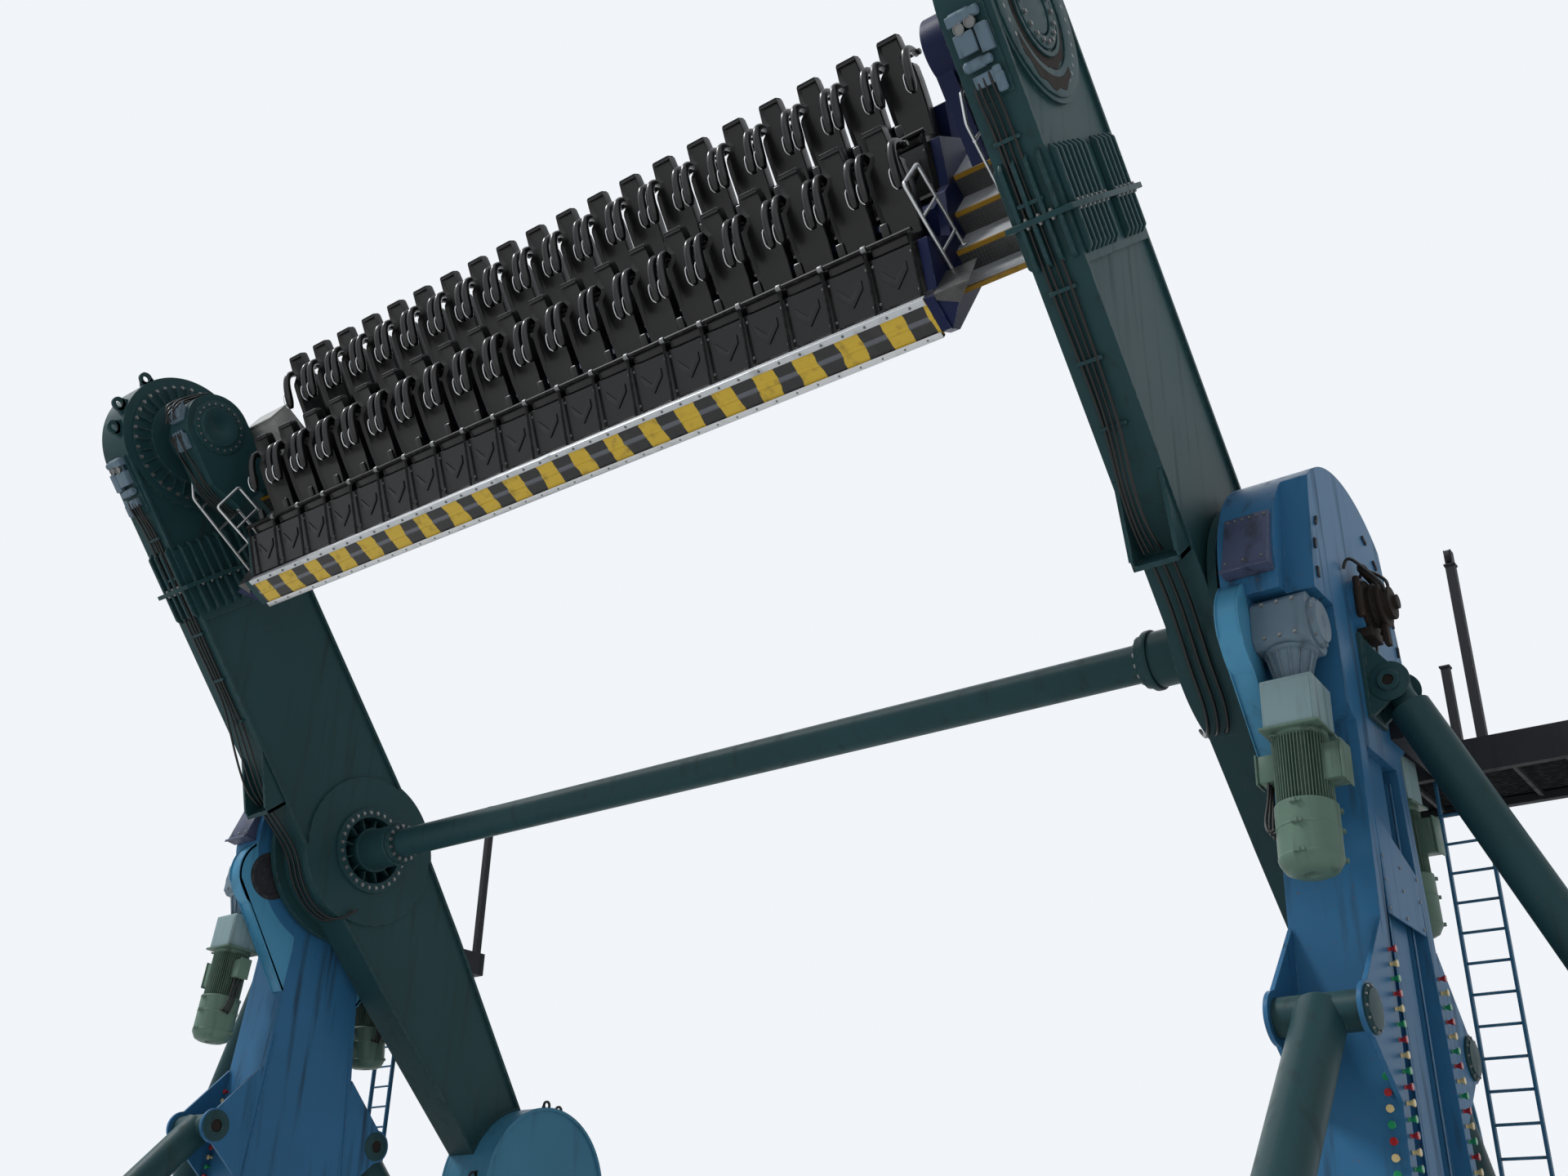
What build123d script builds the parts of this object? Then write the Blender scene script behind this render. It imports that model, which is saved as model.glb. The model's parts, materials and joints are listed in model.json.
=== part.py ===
from build123d import *
import math
import os

# A swinging gondola ride: two braced towers carry a pair of counterweighted arms,
# and a gondola with two rows of seats hangs between the arms' upper ends.
# Units are millimetres. The origin is on the ground under the middle of the main axis,
# +X runs along the main axis to the right, +Y to the back and +Z up.

# Main axis and swing
HUB_HEIGHT = 9600
ARM_SWING = 40
GONDOLA_REACH = 6500
COUNTER_REACH = 5850
RUNNING_GAP = 0.3

# The row of seats sets the width between the arms
SEATS = 20
SEAT_PITCH = 540
ROW_END_MARGIN = 90
ROW_HALF_LENGTH = SEATS * SEAT_PITCH / 2 + ROW_END_MARGIN
END_SPACE = 1110

# Arms
ARM_INNER = ROW_HALF_LENGTH + END_SPACE
ARM_THICK = 530
ARM_HALF_WIDTH = 1000
ARM_HUB_RADIUS = 1150
ARM_LOW_HALF_WIDTH = 860
ARM_TIP_HALF_WIDTH = 460
ARM_RIM = 45
ARM_WEB_DEPTH = 40
SPLICE_BELOW_AXIS = 1900
SPLICE_BAND = 60
SPLICE_LIP = 85
RIB_LENGTH = 430
RIB_THICK = 22
TRAY_LEVEL = 1230
TRAY_TOP = 2050
TRAY_HALF = 240
TRAY_REACH = 330
TRAY_LIP = 100
TRAY_FLOOR = 50
TRAY_PLATE = 25

# Counterweights
COUNTER_RADIUS = 1230
COUNTER_OVERHANG = 430
COUNTER_INNER = ARM_INNER - COUNTER_OVERHANG
COUNTER_THICK = 980
COUNTER_FACE_DEPTH = 25

# Cross tube
TUBE_RADIUS = 205
COLLAR_RADIUS = 295
COLLAR_LENGTH = 690
TUBE_FLANGE_RADIUS = 280
TUBE_FLANGE_THICK = 45
HUB_RING_RADIUS = 630
HUB_OPENING_RADIUS = 490
HUB_OPENING_DEPTH = 300
HUB_RING_THICK = 45

# Slewing bearing between arm and tower
SLEW_RADIUS = 1300
SLEW_THICK = 90
GEAR_RADIUS = 1180
GEAR_TOOTH = 45
GEAR_TEETH = 72
GEAR_THICK = 60
BEARING_RADIUS = 950

# Towers
BEARING_SPACE = 20
TOWER_INNER = ARM_INNER + ARM_THICK + SLEW_THICK + GEAR_THICK + BEARING_SPACE
TOWER_THICK = 800
TOWER_TOP_HALF = 600
TOWER_FOOT_HALF = 1350
TOWER_TOP_BELOW_HUB = 1500
HEAD_RADIUS = 1450
HOOD_CUT_DEPTH = 260
CHANNEL_DEPTH = 150
CHANNEL_RIM = 190
COVER_STRIP_HALF = 220
COVER_STRIP_THICK = 70
BASE_THICK = 60
BASE_MARGIN = 200
BASE_SIDE_MARGIN = 260
BASE_HOLE_RADIUS = 27
BASE_HOLE_INSET = 100

# Drives, two on each tower
PINION_Y = 1150
PINION_BELOW_HUB = 550
EAR_RADIUS = 520
EAR_THICK = 220
GEARBOX_HALF = 250
GEARBOX_INNER_HALF = 260
DRIVE_X = TOWER_INNER + EAR_THICK + GEARBOX_INNER_HALF
GEARBOX_COVER_RADIUS = 235
BELL_TOP_RADIUS = 235
BELL_LOW_RADIUS = 150
BELL_LENGTH = 330
COUPLING_HALF = 235
COUPLING_LENGTH = 470
MOTOR_RADIUS = 268
MOTOR_LENGTH = 1280
MOTOR_FINNED = 680
MOTOR_FIN_DEPTH = 45
TERMINAL_BOX_DEPTH = 150
DRIVE_LEAN = 5
GEARBOX_SEAT_Y = 790
GEARBOX_SEAT_TOP = -240
SLIP_RING_RADIUS = 300

# Struts
PIN_BELOW_HUB = 4000
PIN_Y = 1350
PIN_RADIUS = 165
LUG_THICK = 40
STRUT_RADIUS = 215
STRUT_FOOT_Y = 6150
FOOT_PIN_HEIGHT = 420
FOOT_HALF = 450
FOOT_THICK = 60
FOOT_HOLE_INSET = 90
FOOT_HOLE_RADIUS = 20
SIDE_LUG_REACH = 220
SIDE_PIN_BELOW_HUB = 840
SIDE_STRUT_RADIUS = 190
SIDE_FOOT_REACH = 3850
SIDE_FOOT_X = TOWER_INNER + TOWER_THICK + SIDE_FOOT_REACH
FOOT_EYE_RADIUS = 130
FOOT_EYE_HALF = 120
SIDE_EYE_HALF = 130

# Ladder, platform and posts
LADDER_Y = 2050
LADDER_INSET = 80
LADDER_X = TOWER_INNER + TOWER_THICK - LADDER_INSET
LADDER_WIDTH = 430
LADDER_RAIL = 60
RUNG_RADIUS = 15
RUNG_PITCH = 300
PLATFORM_INSET = 50
PLATFORM_LENGTH = 2650
PLATFORM_INNER = TOWER_INNER + PLATFORM_INSET
PLATFORM_OUTER = PLATFORM_INNER + PLATFORM_LENGTH
TALL_POST = 2500
LEFT_POST = 2300
SHORT_POST = 1300
SHORT_POST_WIDTH = 90
TALL_POST_OUT = 250
LEFT_POST_INSET = 100
PLATFORM_FRONT = 1750
PLATFORM_BACK = 3100
PLATFORM_BELOW_HUB = 850
PLATFORM_THICK = 350
DECK_THICK = 230

# Gondola, measured from its own axis and square to its floors
GONDOLA_TURN = 20
ROW_SHIFT_Y = 1447
ROW_SHIFT_Z = 495
HIP_Y = -645
SEAT_TOP = -1362
SEAT_LEAN = 26
SEAT_HEIGHT = 1150
FLOOR_TOP = -1710
FLOOR_FRONT = -1620
FLOOR_BACK = -900
FLOOR_THICK = 60
SKIRT_HEIGHT = 385
SKIRT_THICK = 40
SKIRT_ANGLE = 12
SKIRT_LIP = 50
END_FRAME_THICK = 110
FRAME_LOW = -2200
RIGHT_LEVER_GAP = 555
RIGHT_LEVER_THICK = 190
RIGHT_NOSE_RADIUS = 360
RIGHT_LEVER_FRONT = [(-340, -120), (-600, -1000)]
RIGHT_LEVER_BACK = [(265, -735), (340, -120)]
LEFT_LEVER_GAP = 305
LEFT_LEVER_THICK = 400
LEFT_NOSE_RADIUS = 500
LEFT_LEVER_FRONT = [(-470, 171), (-716, -506), (-614, -1000)]
LEFT_LEVER_BACK = [(265, -735), (470, -171)]
LEVER_FOOT_Y = 190
LEVER_FOOT_DEPTH = 390
LEVER_TIE_HEIGHT = 500
BOSS_RADIUS = 360
AXLE_RADIUS = 240
BEARING_DISC_RADIUS = 860
BEARING_DISC_THICK = 90
STEP_END_GAP = 165
STEP_WIDTH = END_SPACE - END_FRAME_THICK / 2 - BEARING_DISC_THICK - STEP_END_GAP
STEPS = 4
STEP_RISE = ROW_SHIFT_Z / 2
STEP_RUN = 420
STEP_THICK = 45
STEP_FIRST_Y = -1090
STEP_FIRST_Z = FLOOR_TOP - STEP_RISE
LANDING_DEPTH = 830
RISER_THICK = 12
CABINET_END_GAP = 180
CABINET_WIDTH = STEP_WIDTH - CABINET_END_GAP
CABINET_DEPTH = 400
CABINET_HEIGHT = 900
BEAM_FRONT = -380
BEAM_BACK = 270
BEAM_LOW = -1885
BEAM_TOP = FLOOR_TOP + ROW_SHIFT_Z - FLOOR_THICK
PANEL_TOP_Y = 1190
PANEL_TOP_Z = -700
PANEL_KNEE_Y = 840
PANEL_KNEE_Z = -1677
PANEL_THICK = 25
FRAMES = 7
ROW_BEAM_DEPTH = 220
RAIL_RADIUS = 28
RAIL_GAP = 3
RAIL_BELOW_PAD = 20
LEG_BAR_RADIUS = 22
LEG_BAR_FOOT = 90
LEG_PAN_FOOT_Y = -1460
LEG_PAN_THICK = 30
GUARD_RADIUS = 20
GUARD_SIDES = 8
INNER_GUARD_OUT = 60
OUTER_GUARD_INSET = 25

# Seats and restraints
SHELL_THICK = 130
BASE_LENGTH = 430
BASE_PAD_THICK = 140
SEAT_WIDTH = 440
PAD_RISE = 20
PAD_RISE_LENGTH = 120
PAD_DISH = 25
HORN_DEPTH = 60
HORN_HEIGHT = 150
HORN_HALF_WIDTH = 45
SHAFT_BACK = 45
SHAFT_RADIUS = 25
SHAFT_BELOW_TOP = 240
HOOP_X = 200
HOOP_RADIUS = 50


def in_arm(shape):
    """Place a shape that is drawn with the hub at the origin and the arm straight up."""
    return Pos(0, 0, HUB_HEIGHT) * Rot(ARM_SWING, 0, 0) * shape


def in_gondola(shape):
    """Place a shape that is drawn with the gondola's axis at the origin and its floors level."""
    return in_arm(Pos(0, 0, GONDOLA_REACH) * Rot(GONDOLA_TURN, 0, 0) * shape)


def side_plate(outline, x_from, x_to):
    """A plate that lies across the X axis, from its outline in Y and Z."""
    points = [(x_from, y, z) for y, z in outline]
    face = make_face(Polyline(*points, close=True))
    return extrude(face, amount=x_to - x_from, dir=(1, 0, 0))


def side_sketch(sketch, x_from, x_to):
    """Extrude a sketch drawn in Y and Z along X."""
    return extrude(Plane.YZ.offset(x_from) * sketch, amount=x_to - x_from)


def disc_x(radius, x_from, x_to, y=0, z=0):
    """A disc or cylinder whose axis runs along X."""
    return side_sketch(Pos(y, z) * Circle(radius), x_from, x_to)


def block(x0, x1, y0, y1, z0, z1):
    """A box given by its low and high corners."""
    return Pos((x0 + x1) / 2, (y0 + y1) / 2, (z0 + z1) / 2) * Box(x1 - x0, y1 - y0, z1 - z0)


def rod(start, end, radius, sides=0):
    """A round or few-sided bar between two points."""
    line = Vector(*end) - Vector(*start)
    plane = Plane(origin=start, z_dir=line.normalized())
    section = RegularPolygon(radius, sides) if sides else Circle(radius)
    return extrude(plane * section, amount=line.length)


def left_of(shape):
    """The same piece on the other side of the ride."""
    return mirror(shape, about=Plane.YZ)


def arm_outline():
    """Side view of one arm, with the hub at the origin and the gondola's end up."""
    upper = Pos(0, GONDOLA_REACH / 2) * Rectangle(2 * ARM_HALF_WIDTH, GONDOLA_REACH)
    crown = Pos(0, GONDOLA_REACH) * Circle(ARM_HALF_WIDTH)
    hub = Circle(ARM_HUB_RADIUS)
    knee = -1.65 * ARM_HUB_RADIUS
    tip = -COUNTER_REACH
    lower = make_face(Polyline(
        (ARM_HALF_WIDTH, 0), (ARM_LOW_HALF_WIDTH, knee), (ARM_TIP_HALF_WIDTH, tip),
        (-ARM_TIP_HALF_WIDTH, tip), (-ARM_LOW_HALF_WIDTH, knee), (-ARM_HALF_WIDTH, 0), close=True))
    return upper + crown + hub + lower


def arm_right():
    """One arm: a box girder whose edge plates stand out past its recessed webs."""
    outer = ARM_INNER + ARM_THICK
    body = side_sketch(arm_outline(), ARM_INNER, outer)
    drum = disc_x(COUNTER_RADIUS, ARM_INNER - 1, outer + 1, 0, -COUNTER_REACH)
    body -= drum
    inset = offset(arm_outline(), amount=-ARM_RIM, kind=Kind.INTERSECTION)
    splice_z = GONDOLA_REACH - SPLICE_BELOW_AXIS
    keep = Pos(0, splice_z) * Rectangle(3 * ARM_HALF_WIDTH, 2 * RIB_LENGTH + 200)
    hub_keep = Circle(ARM_HUB_RADIUS - ARM_RIM)
    top_keep = Pos(0, GONDOLA_REACH) * Circle(ARM_HALF_WIDTH - ARM_RIM)
    tip_keep = Pos(0, -COUNTER_REACH) * Circle(COUNTER_RADIUS + ARM_RIM)
    pocket = inset - keep - hub_keep - top_keep - tip_keep
    body -= side_sketch(pocket, outer - ARM_WEB_DEPTH, outer)
    body -= side_sketch(pocket, ARM_INNER, ARM_INNER + ARM_WEB_DEPTH)
    body -= disc_x(HUB_OPENING_RADIUS, ARM_INNER, ARM_INNER + HUB_OPENING_DEPTH)
    body -= disc_x(AXLE_RADIUS + 5, ARM_INNER, ARM_INNER + HUB_OPENING_DEPTH, 0, GONDOLA_REACH)
    return body


def splice_right():
    """The bolted joint across an arm: a lip all round with long ribs above and below."""
    z = GONDOLA_REACH - SPLICE_BELOW_AXIS
    outer = ARM_INNER + ARM_THICK
    half = ARM_HALF_WIDTH
    lip = block(ARM_INNER - SPLICE_LIP, outer + SPLICE_LIP, -half - SPLICE_LIP, half + SPLICE_LIP,
                z - SPLICE_BAND / 2, z + SPLICE_BAND / 2)
    ribs = []
    low = z - SPLICE_BAND / 2 - RIB_LENGTH
    high = z + SPLICE_BAND / 2 + RIB_LENGTH
    count = 9
    for index in range(count):
        y = (index - (count - 1) / 2) * (2 * half - 120) / (count - 1)
        for face, step in ((ARM_INNER, -1), (outer, 1)):
            tip = face + step * SPLICE_LIP
            profile = make_face(Polyline((face, y, low), (tip, y, z), (face, y, high), close=True))
            ribs.append(Pos(0, -RIB_THICK / 2, 0) * extrude(profile, amount=RIB_THICK, dir=(0, 1, 0)))
    for x in (ARM_INNER + 80, ARM_INNER + ARM_THICK / 2, outer - 80):
        for face, step in ((-half, -1), (half, 1)):
            outline = [(face, low), (face + step * SPLICE_LIP, z), (face, high)]
            ribs.append(side_plate(outline, x - RIB_THICK / 2, x + RIB_THICK / 2))
    collar = lip + ribs
    return collar - block(ARM_INNER, outer, -half, half, z - 2 * RIB_LENGTH, z + 2 * RIB_LENGTH)


def counterweight_right():
    """A round counterweight with slightly sunk end faces."""
    z = -COUNTER_REACH
    x1 = COUNTER_INNER + COUNTER_THICK
    drum = disc_x(COUNTER_RADIUS, COUNTER_INNER, x1, 0, z)
    sunk = COUNTER_RADIUS - 30
    drum -= disc_x(sunk, COUNTER_INNER, COUNTER_INNER + COUNTER_FACE_DEPTH, 0, z)
    drum -= disc_x(sunk, x1 - COUNTER_FACE_DEPTH, x1, 0, z)
    return drum


def cross_tube():
    """The tube that joins both arms at the hub, with a collar at each end."""
    collar_from = ARM_INNER - COLLAR_LENGTH
    collar_to = ARM_INNER + HUB_OPENING_DEPTH
    tube = disc_x(TUBE_RADIUS, -collar_from, collar_from)
    for side in (-1, 1):
        low, high = sorted((side * collar_from, side * collar_to))
        tube += disc_x(COLLAR_RADIUS, low, high)
        low, high = sorted((side * (collar_from - TUBE_FLANGE_THICK), side * collar_from))
        tube += disc_x(TUBE_FLANGE_RADIUS, low, high)
    return tube


def hub_ring_right():
    """The bolted ring around the tube's opening in the arm."""
    ring = Circle(HUB_RING_RADIUS) - Circle(HUB_OPENING_RADIUS)
    return side_sketch(ring, ARM_INNER - HUB_RING_THICK, ARM_INNER)


def slewing_ring_right():
    """The toothed ring on the outside of the arm's hub."""
    outer = ARM_INNER + ARM_THICK
    ring = disc_x(SLEW_RADIUS, outer, outer + SLEW_THICK)
    step = 360 / GEAR_TEETH
    points = []
    for index in range(GEAR_TEETH):
        for part, radius in ((0, 0), (0.35, 0), (0.45, 1), (0.9, 1)):
            angle = math.radians((index + part) * step)
            reach = GEAR_RADIUS - GEAR_TOOTH * (1 - radius)
            points.append((reach * math.cos(angle), reach * math.sin(angle)))
    teeth = make_face(Polyline(*points, close=True))
    ring += side_sketch(teeth, outer + SLEW_THICK, outer + SLEW_THICK + GEAR_THICK)
    return ring


def gondola_bearing_right():
    """The ribbed bearing housing at the arm's upper end, on its inner face."""
    z = GONDOLA_REACH
    x0 = ARM_INNER - BEARING_DISC_THICK
    plate = disc_x(BEARING_DISC_RADIUS, ARM_INNER - 30, ARM_INNER, 0, z)
    plate += disc_x(0.72 * BEARING_DISC_RADIUS, x0, ARM_INNER, 0, z)
    count = 30
    for index in range(count):
        rib = block(x0 + 15, ARM_INNER - 30, -8, 8, 0.7 * BEARING_DISC_RADIUS, 0.96 * BEARING_DISC_RADIUS)
        plate += Pos(0, 0, z) * Rot(index * 360 / count, 0, 0) * rib
    plate -= disc_x(AXLE_RADIUS + 5, x0, ARM_INNER, 0, z)
    return plate


def arm_fittings_right():
    """The valve block, lifting eyes and cable box along the arm's front edge."""
    front = -ARM_HALF_WIDTH
    middle = ARM_INNER + ARM_THICK / 2
    z = GONDOLA_REACH
    valves = block(middle - 180, middle + 180, front - 130, front, z - 700, z + 40)
    for level in (-560, -330, -100):
        valves += Pos(0, front - 130, z + level) * Rot(90, 0, 0) * Pos(middle, 0, 0) * Cylinder(70, 160)
    lip = front - TRAY_REACH
    tray = block(middle - TRAY_HALF, middle + TRAY_HALF, lip, front, TRAY_LEVEL - TRAY_FLOOR, TRAY_LEVEL)
    cheek = [(front, TRAY_LEVEL), (lip, TRAY_LEVEL), (lip, TRAY_LEVEL + TRAY_LIP), (front, TRAY_TOP)]
    for side in (-1, 1):
        low, high = sorted((middle + side * TRAY_HALF, middle + side * (TRAY_HALF - TRAY_PLATE)))
        tray += side_plate(cheek, low, high)
    eyes = Pos(middle, 0, z + ARM_HALF_WIDTH) * (Rot(0, 90, 0) * Cylinder(95, 40))
    eyes -= disc_x(ARM_HALF_WIDTH, ARM_INNER, ARM_INNER + ARM_THICK, 0, z)
    return [valves, tray, eyes]


def tower_column_right():
    """A tapered box column with a sunk outer face, strut lugs and a base plate."""
    top = HUB_HEIGHT - TOWER_TOP_BELOW_HUB
    x1 = TOWER_INNER + TOWER_THICK
    outline = [(-TOWER_FOOT_HALF, 0), (TOWER_FOOT_HALF, 0), (TOWER_TOP_HALF, top), (-TOWER_TOP_HALF, top)]
    column = side_plate(outline, TOWER_INNER, x1)
    low = TOWER_FOOT_HALF - CHANNEL_RIM
    high = TOWER_TOP_HALF - CHANNEL_RIM
    channel = [(-low, 500), (low, 500), (high, top), (-high, top)]
    column -= side_plate(channel, x1 - CHANNEL_DEPTH, x1)
    column += block(x1 - CHANNEL_DEPTH, x1 - CHANNEL_DEPTH + COVER_STRIP_THICK,
                    -COVER_STRIP_HALF, COVER_STRIP_HALF, 500, top)
    column += strut_lugs()
    column += tower_base()
    return column


def strut_lugs():
    """Triangular plates front and back that hold the strut pins."""
    z = HUB_HEIGHT - PIN_BELOW_HUB
    face = TOWER_TOP_HALF + (TOWER_FOOT_HALF - TOWER_TOP_HALF) * (PIN_BELOW_HUB - TOWER_TOP_BELOW_HUB) / (
        HUB_HEIGHT - TOWER_TOP_BELOW_HUB)
    lugs = []
    for side in (-1, 1):
        nose = Pos(side * PIN_Y, z) * Circle(PIN_RADIUS + 60)
        inner = face - 60
        web = make_face(Polyline((side * inner, z + 850), (side * (PIN_Y + 60), z + 180),
                                 (side * (PIN_Y + 60), z - 180), (side * inner, z - 750), close=True))
        outline = nose + web
        for x in (TOWER_INNER, TOWER_INNER + TOWER_THICK - LUG_THICK):
            lugs.append(side_sketch(outline, x, x + LUG_THICK))
    return lugs


def tower_base():
    """The base plate with a hole for an anchor bolt near each corner."""
    x0 = TOWER_INNER - BASE_SIDE_MARGIN
    x1 = TOWER_INNER + TOWER_THICK + BASE_SIDE_MARGIN
    y = TOWER_FOOT_HALF + BASE_MARGIN
    plate = block(x0, x1, -y, y, 0, BASE_THICK)
    for hole_x in (x0 + BASE_HOLE_INSET, x1 - BASE_HOLE_INSET):
        for side in (-1, 1):
            plate -= Pos(hole_x, side * (y - BASE_HOLE_INSET), 0) * Cylinder(BASE_HOLE_RADIUS, 3 * BASE_THICK)
    return plate


def tower_head_right():
    """The round head that carries the slewing bearing, with a chamfered hood and drives' seats."""
    x1 = TOWER_INNER + TOWER_THICK
    bottom = -TOWER_TOP_BELOW_HUB
    disc = Circle(HEAD_RADIUS)
    neck = Pos(0, bottom / 2) * Rectangle(2 * TOWER_TOP_HALF, -bottom)
    keep = Pos(0, HEAD_RADIUS) * Rectangle(4 * HEAD_RADIUS, 2 * (HEAD_RADIUS - bottom))
    head = side_sketch((disc + neck) & keep, TOWER_INNER, x1)
    edge = HEAD_RADIUS
    for side in (-1, 1):
        head -= side_plate([(side * (edge + 10), -0.5 * edge), (side * (edge + 10), edge),
                            (side * 0.62 * edge, 1.1 * edge), (side * 0.93 * edge, -0.5 * edge)],
                           x1 - HOOD_CUT_DEPTH, x1 + 1)
    head += disc_x(SLIP_RING_RADIUS, x1, x1 + 90)
    for side in (-1, 1):
        low, high = sorted((side * GEARBOX_SEAT_Y, side * (edge + 10)))
        head -= block(TOWER_INNER + EAR_THICK, x1 + 1, low, high, bottom - 1, GEARBOX_SEAT_TOP)
    bearing_face = ARM_INNER + ARM_THICK + SLEW_THICK + GEAR_THICK + RUNNING_GAP
    head += disc_x(BEARING_RADIUS, bearing_face, TOWER_INNER)
    return [Pos(0, 0, HUB_HEIGHT) * head]


def gear_cover_right():
    """The curved covers over the drive pinions, in front of and behind the head."""
    covers = []
    for side in (-1, 1):
        lobe = Pos(side * PINION_Y, -PINION_BELOW_HUB) * Circle(EAR_RADIUS)
        web = make_face(Polyline((side * 500, 250), (side * (PINION_Y + 330), -150),
                                 (side * (PINION_Y + EAR_RADIUS - 10), -PINION_BELOW_HUB - 90),
                                 (side * (TOWER_TOP_HALF + 60), -2100), (side * 500, -2100), close=True))
        outline = lobe + web - Circle(HEAD_RADIUS)
        top = -TOWER_TOP_BELOW_HUB
        slope = (TOWER_FOOT_HALF - TOWER_TOP_HALF) / (HUB_HEIGHT - TOWER_TOP_BELOW_HUB)
        column = make_face(Polyline((0, top + 400), (side * TOWER_TOP_HALF, top + 400),
                                    (side * TOWER_TOP_HALF, top),
                                    (side * (TOWER_TOP_HALF + slope * 800), top - 800),
                                    (0, top - 800), close=True))
        cover = side_sketch(outline - column, TOWER_INNER, TOWER_INNER + EAR_THICK)
        covers.append(Pos(0, 0, HUB_HEIGHT) * cover)
    return covers


def drive_frame(side, shape):
    """Place a drive that is drawn about its motor axis with the pinion's level at zero."""
    lean = Rot(side * DRIVE_LEAN, 0, 0)
    return Pos(DRIVE_X, side * PINION_Y, HUB_HEIGHT - PINION_BELOW_HUB) * lean * shape


def gearboxes_right():
    """Right-angle gearbox, ribbed bell and coupling box of the front and back drives."""
    boxes = []
    inner = TOWER_INNER + EAR_THICK - DRIVE_X
    for side in (-1, 1):
        case = block(inner, GEARBOX_HALF, -GEARBOX_HALF, GEARBOX_HALF, -GEARBOX_HALF, GEARBOX_HALF)
        case = chamfer(case.edges().filter_by(Axis.X), 60)
        case += disc_x(GEARBOX_COVER_RADIUS, GEARBOX_HALF, GEARBOX_HALF + 70)
        bell_top = -GEARBOX_HALF
        bell = Pos(0, 0, bell_top - BELL_LENGTH / 2) * Cone(BELL_LOW_RADIUS, BELL_TOP_RADIUS, BELL_LENGTH)
        box_top = bell_top - BELL_LENGTH
        box = block(-COUPLING_HALF, COUPLING_HALF, -COUPLING_HALF, COUPLING_HALF,
                    box_top - COUPLING_LENGTH, box_top)
        boxes.append(drive_frame(side, case + bell + box))
    return boxes


def drive_motors_right():
    """Flange motors: a finned upper half, a smooth cowl and a terminal box."""
    motors = []
    top = -GEARBOX_HALF - BELL_LENGTH - COUPLING_LENGTH
    for side in (-1, 1):
        core = MOTOR_RADIUS - MOTOR_FIN_DEPTH
        profile = make_face(Polyline((0, top), (core, top), (core, top - MOTOR_FINNED),
                                     (MOTOR_RADIUS, top - MOTOR_FINNED),
                                     (MOTOR_RADIUS, top - MOTOR_LENGTH + 110),
                                     (MOTOR_RADIUS - 70, top - MOTOR_LENGTH),
                                     (0, top - MOTOR_LENGTH), close=True))
        motor = revolve(Plane.XZ * profile, Axis.Z)
        low, high = sorted((side * core, side * (core + TERMINAL_BOX_DEPTH)))
        motor += block(-150, 150, low, high, top - MOTOR_FINNED - 60, top - 120)
        motors.append(drive_frame(side, motor))
    return motors


def strut_brackets_right():
    """Two plates bolted to the head's outer face that hold the side strut's pin."""
    x1 = TOWER_INNER + TOWER_THICK
    z = HUB_HEIGHT - SIDE_PIN_BELOW_HUB
    pin_x = x1 + SIDE_LUG_REACH
    inner = SIDE_EYE_HALF + RUNNING_GAP
    web = [(x1, z + 520), (pin_x + 60, z + 130), (pin_x + 130, z), (pin_x + 60, z - 130), (x1, z - 330)]
    bracket = block(x1, x1 + LUG_THICK, -inner - 100, inner + 100, z - 330, z + 520)
    for y in (-inner - LUG_THICK, inner):
        face = make_face(Polyline(*[(x, y, height) for x, height in web], close=True))
        bracket += extrude(face, amount=LUG_THICK, dir=(0, 1, 0))
    return bracket


def pointed_rod(top, foot, radius, cut_top, cut_foot):
    """A brace tube that stops short of the pins at its two ends."""
    line = (Vector(*foot) - Vector(*top)).normalized()
    start = Vector(*top) + line * cut_top
    end = Vector(*foot) - line * cut_foot
    return rod(tuple(start), tuple(end), radius)


def struts_right():
    """The front, back and side braces of one tower, each with an eye at its foot."""
    middle = TOWER_INNER + TOWER_THICK / 2
    z = HUB_HEIGHT - PIN_BELOW_HUB
    reach = TOWER_THICK / 2 - LUG_THICK - RUNNING_GAP
    struts = []
    for side in (-1, 1):
        top = (middle, side * PIN_Y, z)
        foot = (middle, side * STRUT_FOOT_Y, FOOT_PIN_HEIGHT)
        leg = pointed_rod(top, foot, STRUT_RADIUS, 0, 200)
        leg += disc_x(PIN_RADIUS, middle - reach, middle + reach, side * PIN_Y, z)
        leg += pointed_rod(top, foot, FOOT_EYE_RADIUS - 10, 1000, 0)
        leg += disc_x(FOOT_EYE_RADIUS, middle - FOOT_EYE_HALF, middle + FOOT_EYE_HALF,
                      side * STRUT_FOOT_Y, FOOT_PIN_HEIGHT)
        struts.append(leg)
    pin_x = TOWER_INNER + TOWER_THICK + SIDE_LUG_REACH
    top = (pin_x, 0, HUB_HEIGHT - SIDE_PIN_BELOW_HUB)
    foot = (SIDE_FOOT_X, 0, FOOT_PIN_HEIGHT)
    brace = pointed_rod(top, foot, SIDE_STRUT_RADIUS, 260, 200)
    brace += pointed_rod(top, foot, FOOT_EYE_RADIUS - 10, 0, 0)
    for x, _, height in (top, foot):
        eye = Rot(90, 0, 0) * Cylinder(FOOT_EYE_RADIUS, 2 * SIDE_EYE_HALF)
        brace += Pos(x, 0, height) * eye
    struts.append(brace)
    return struts


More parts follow.
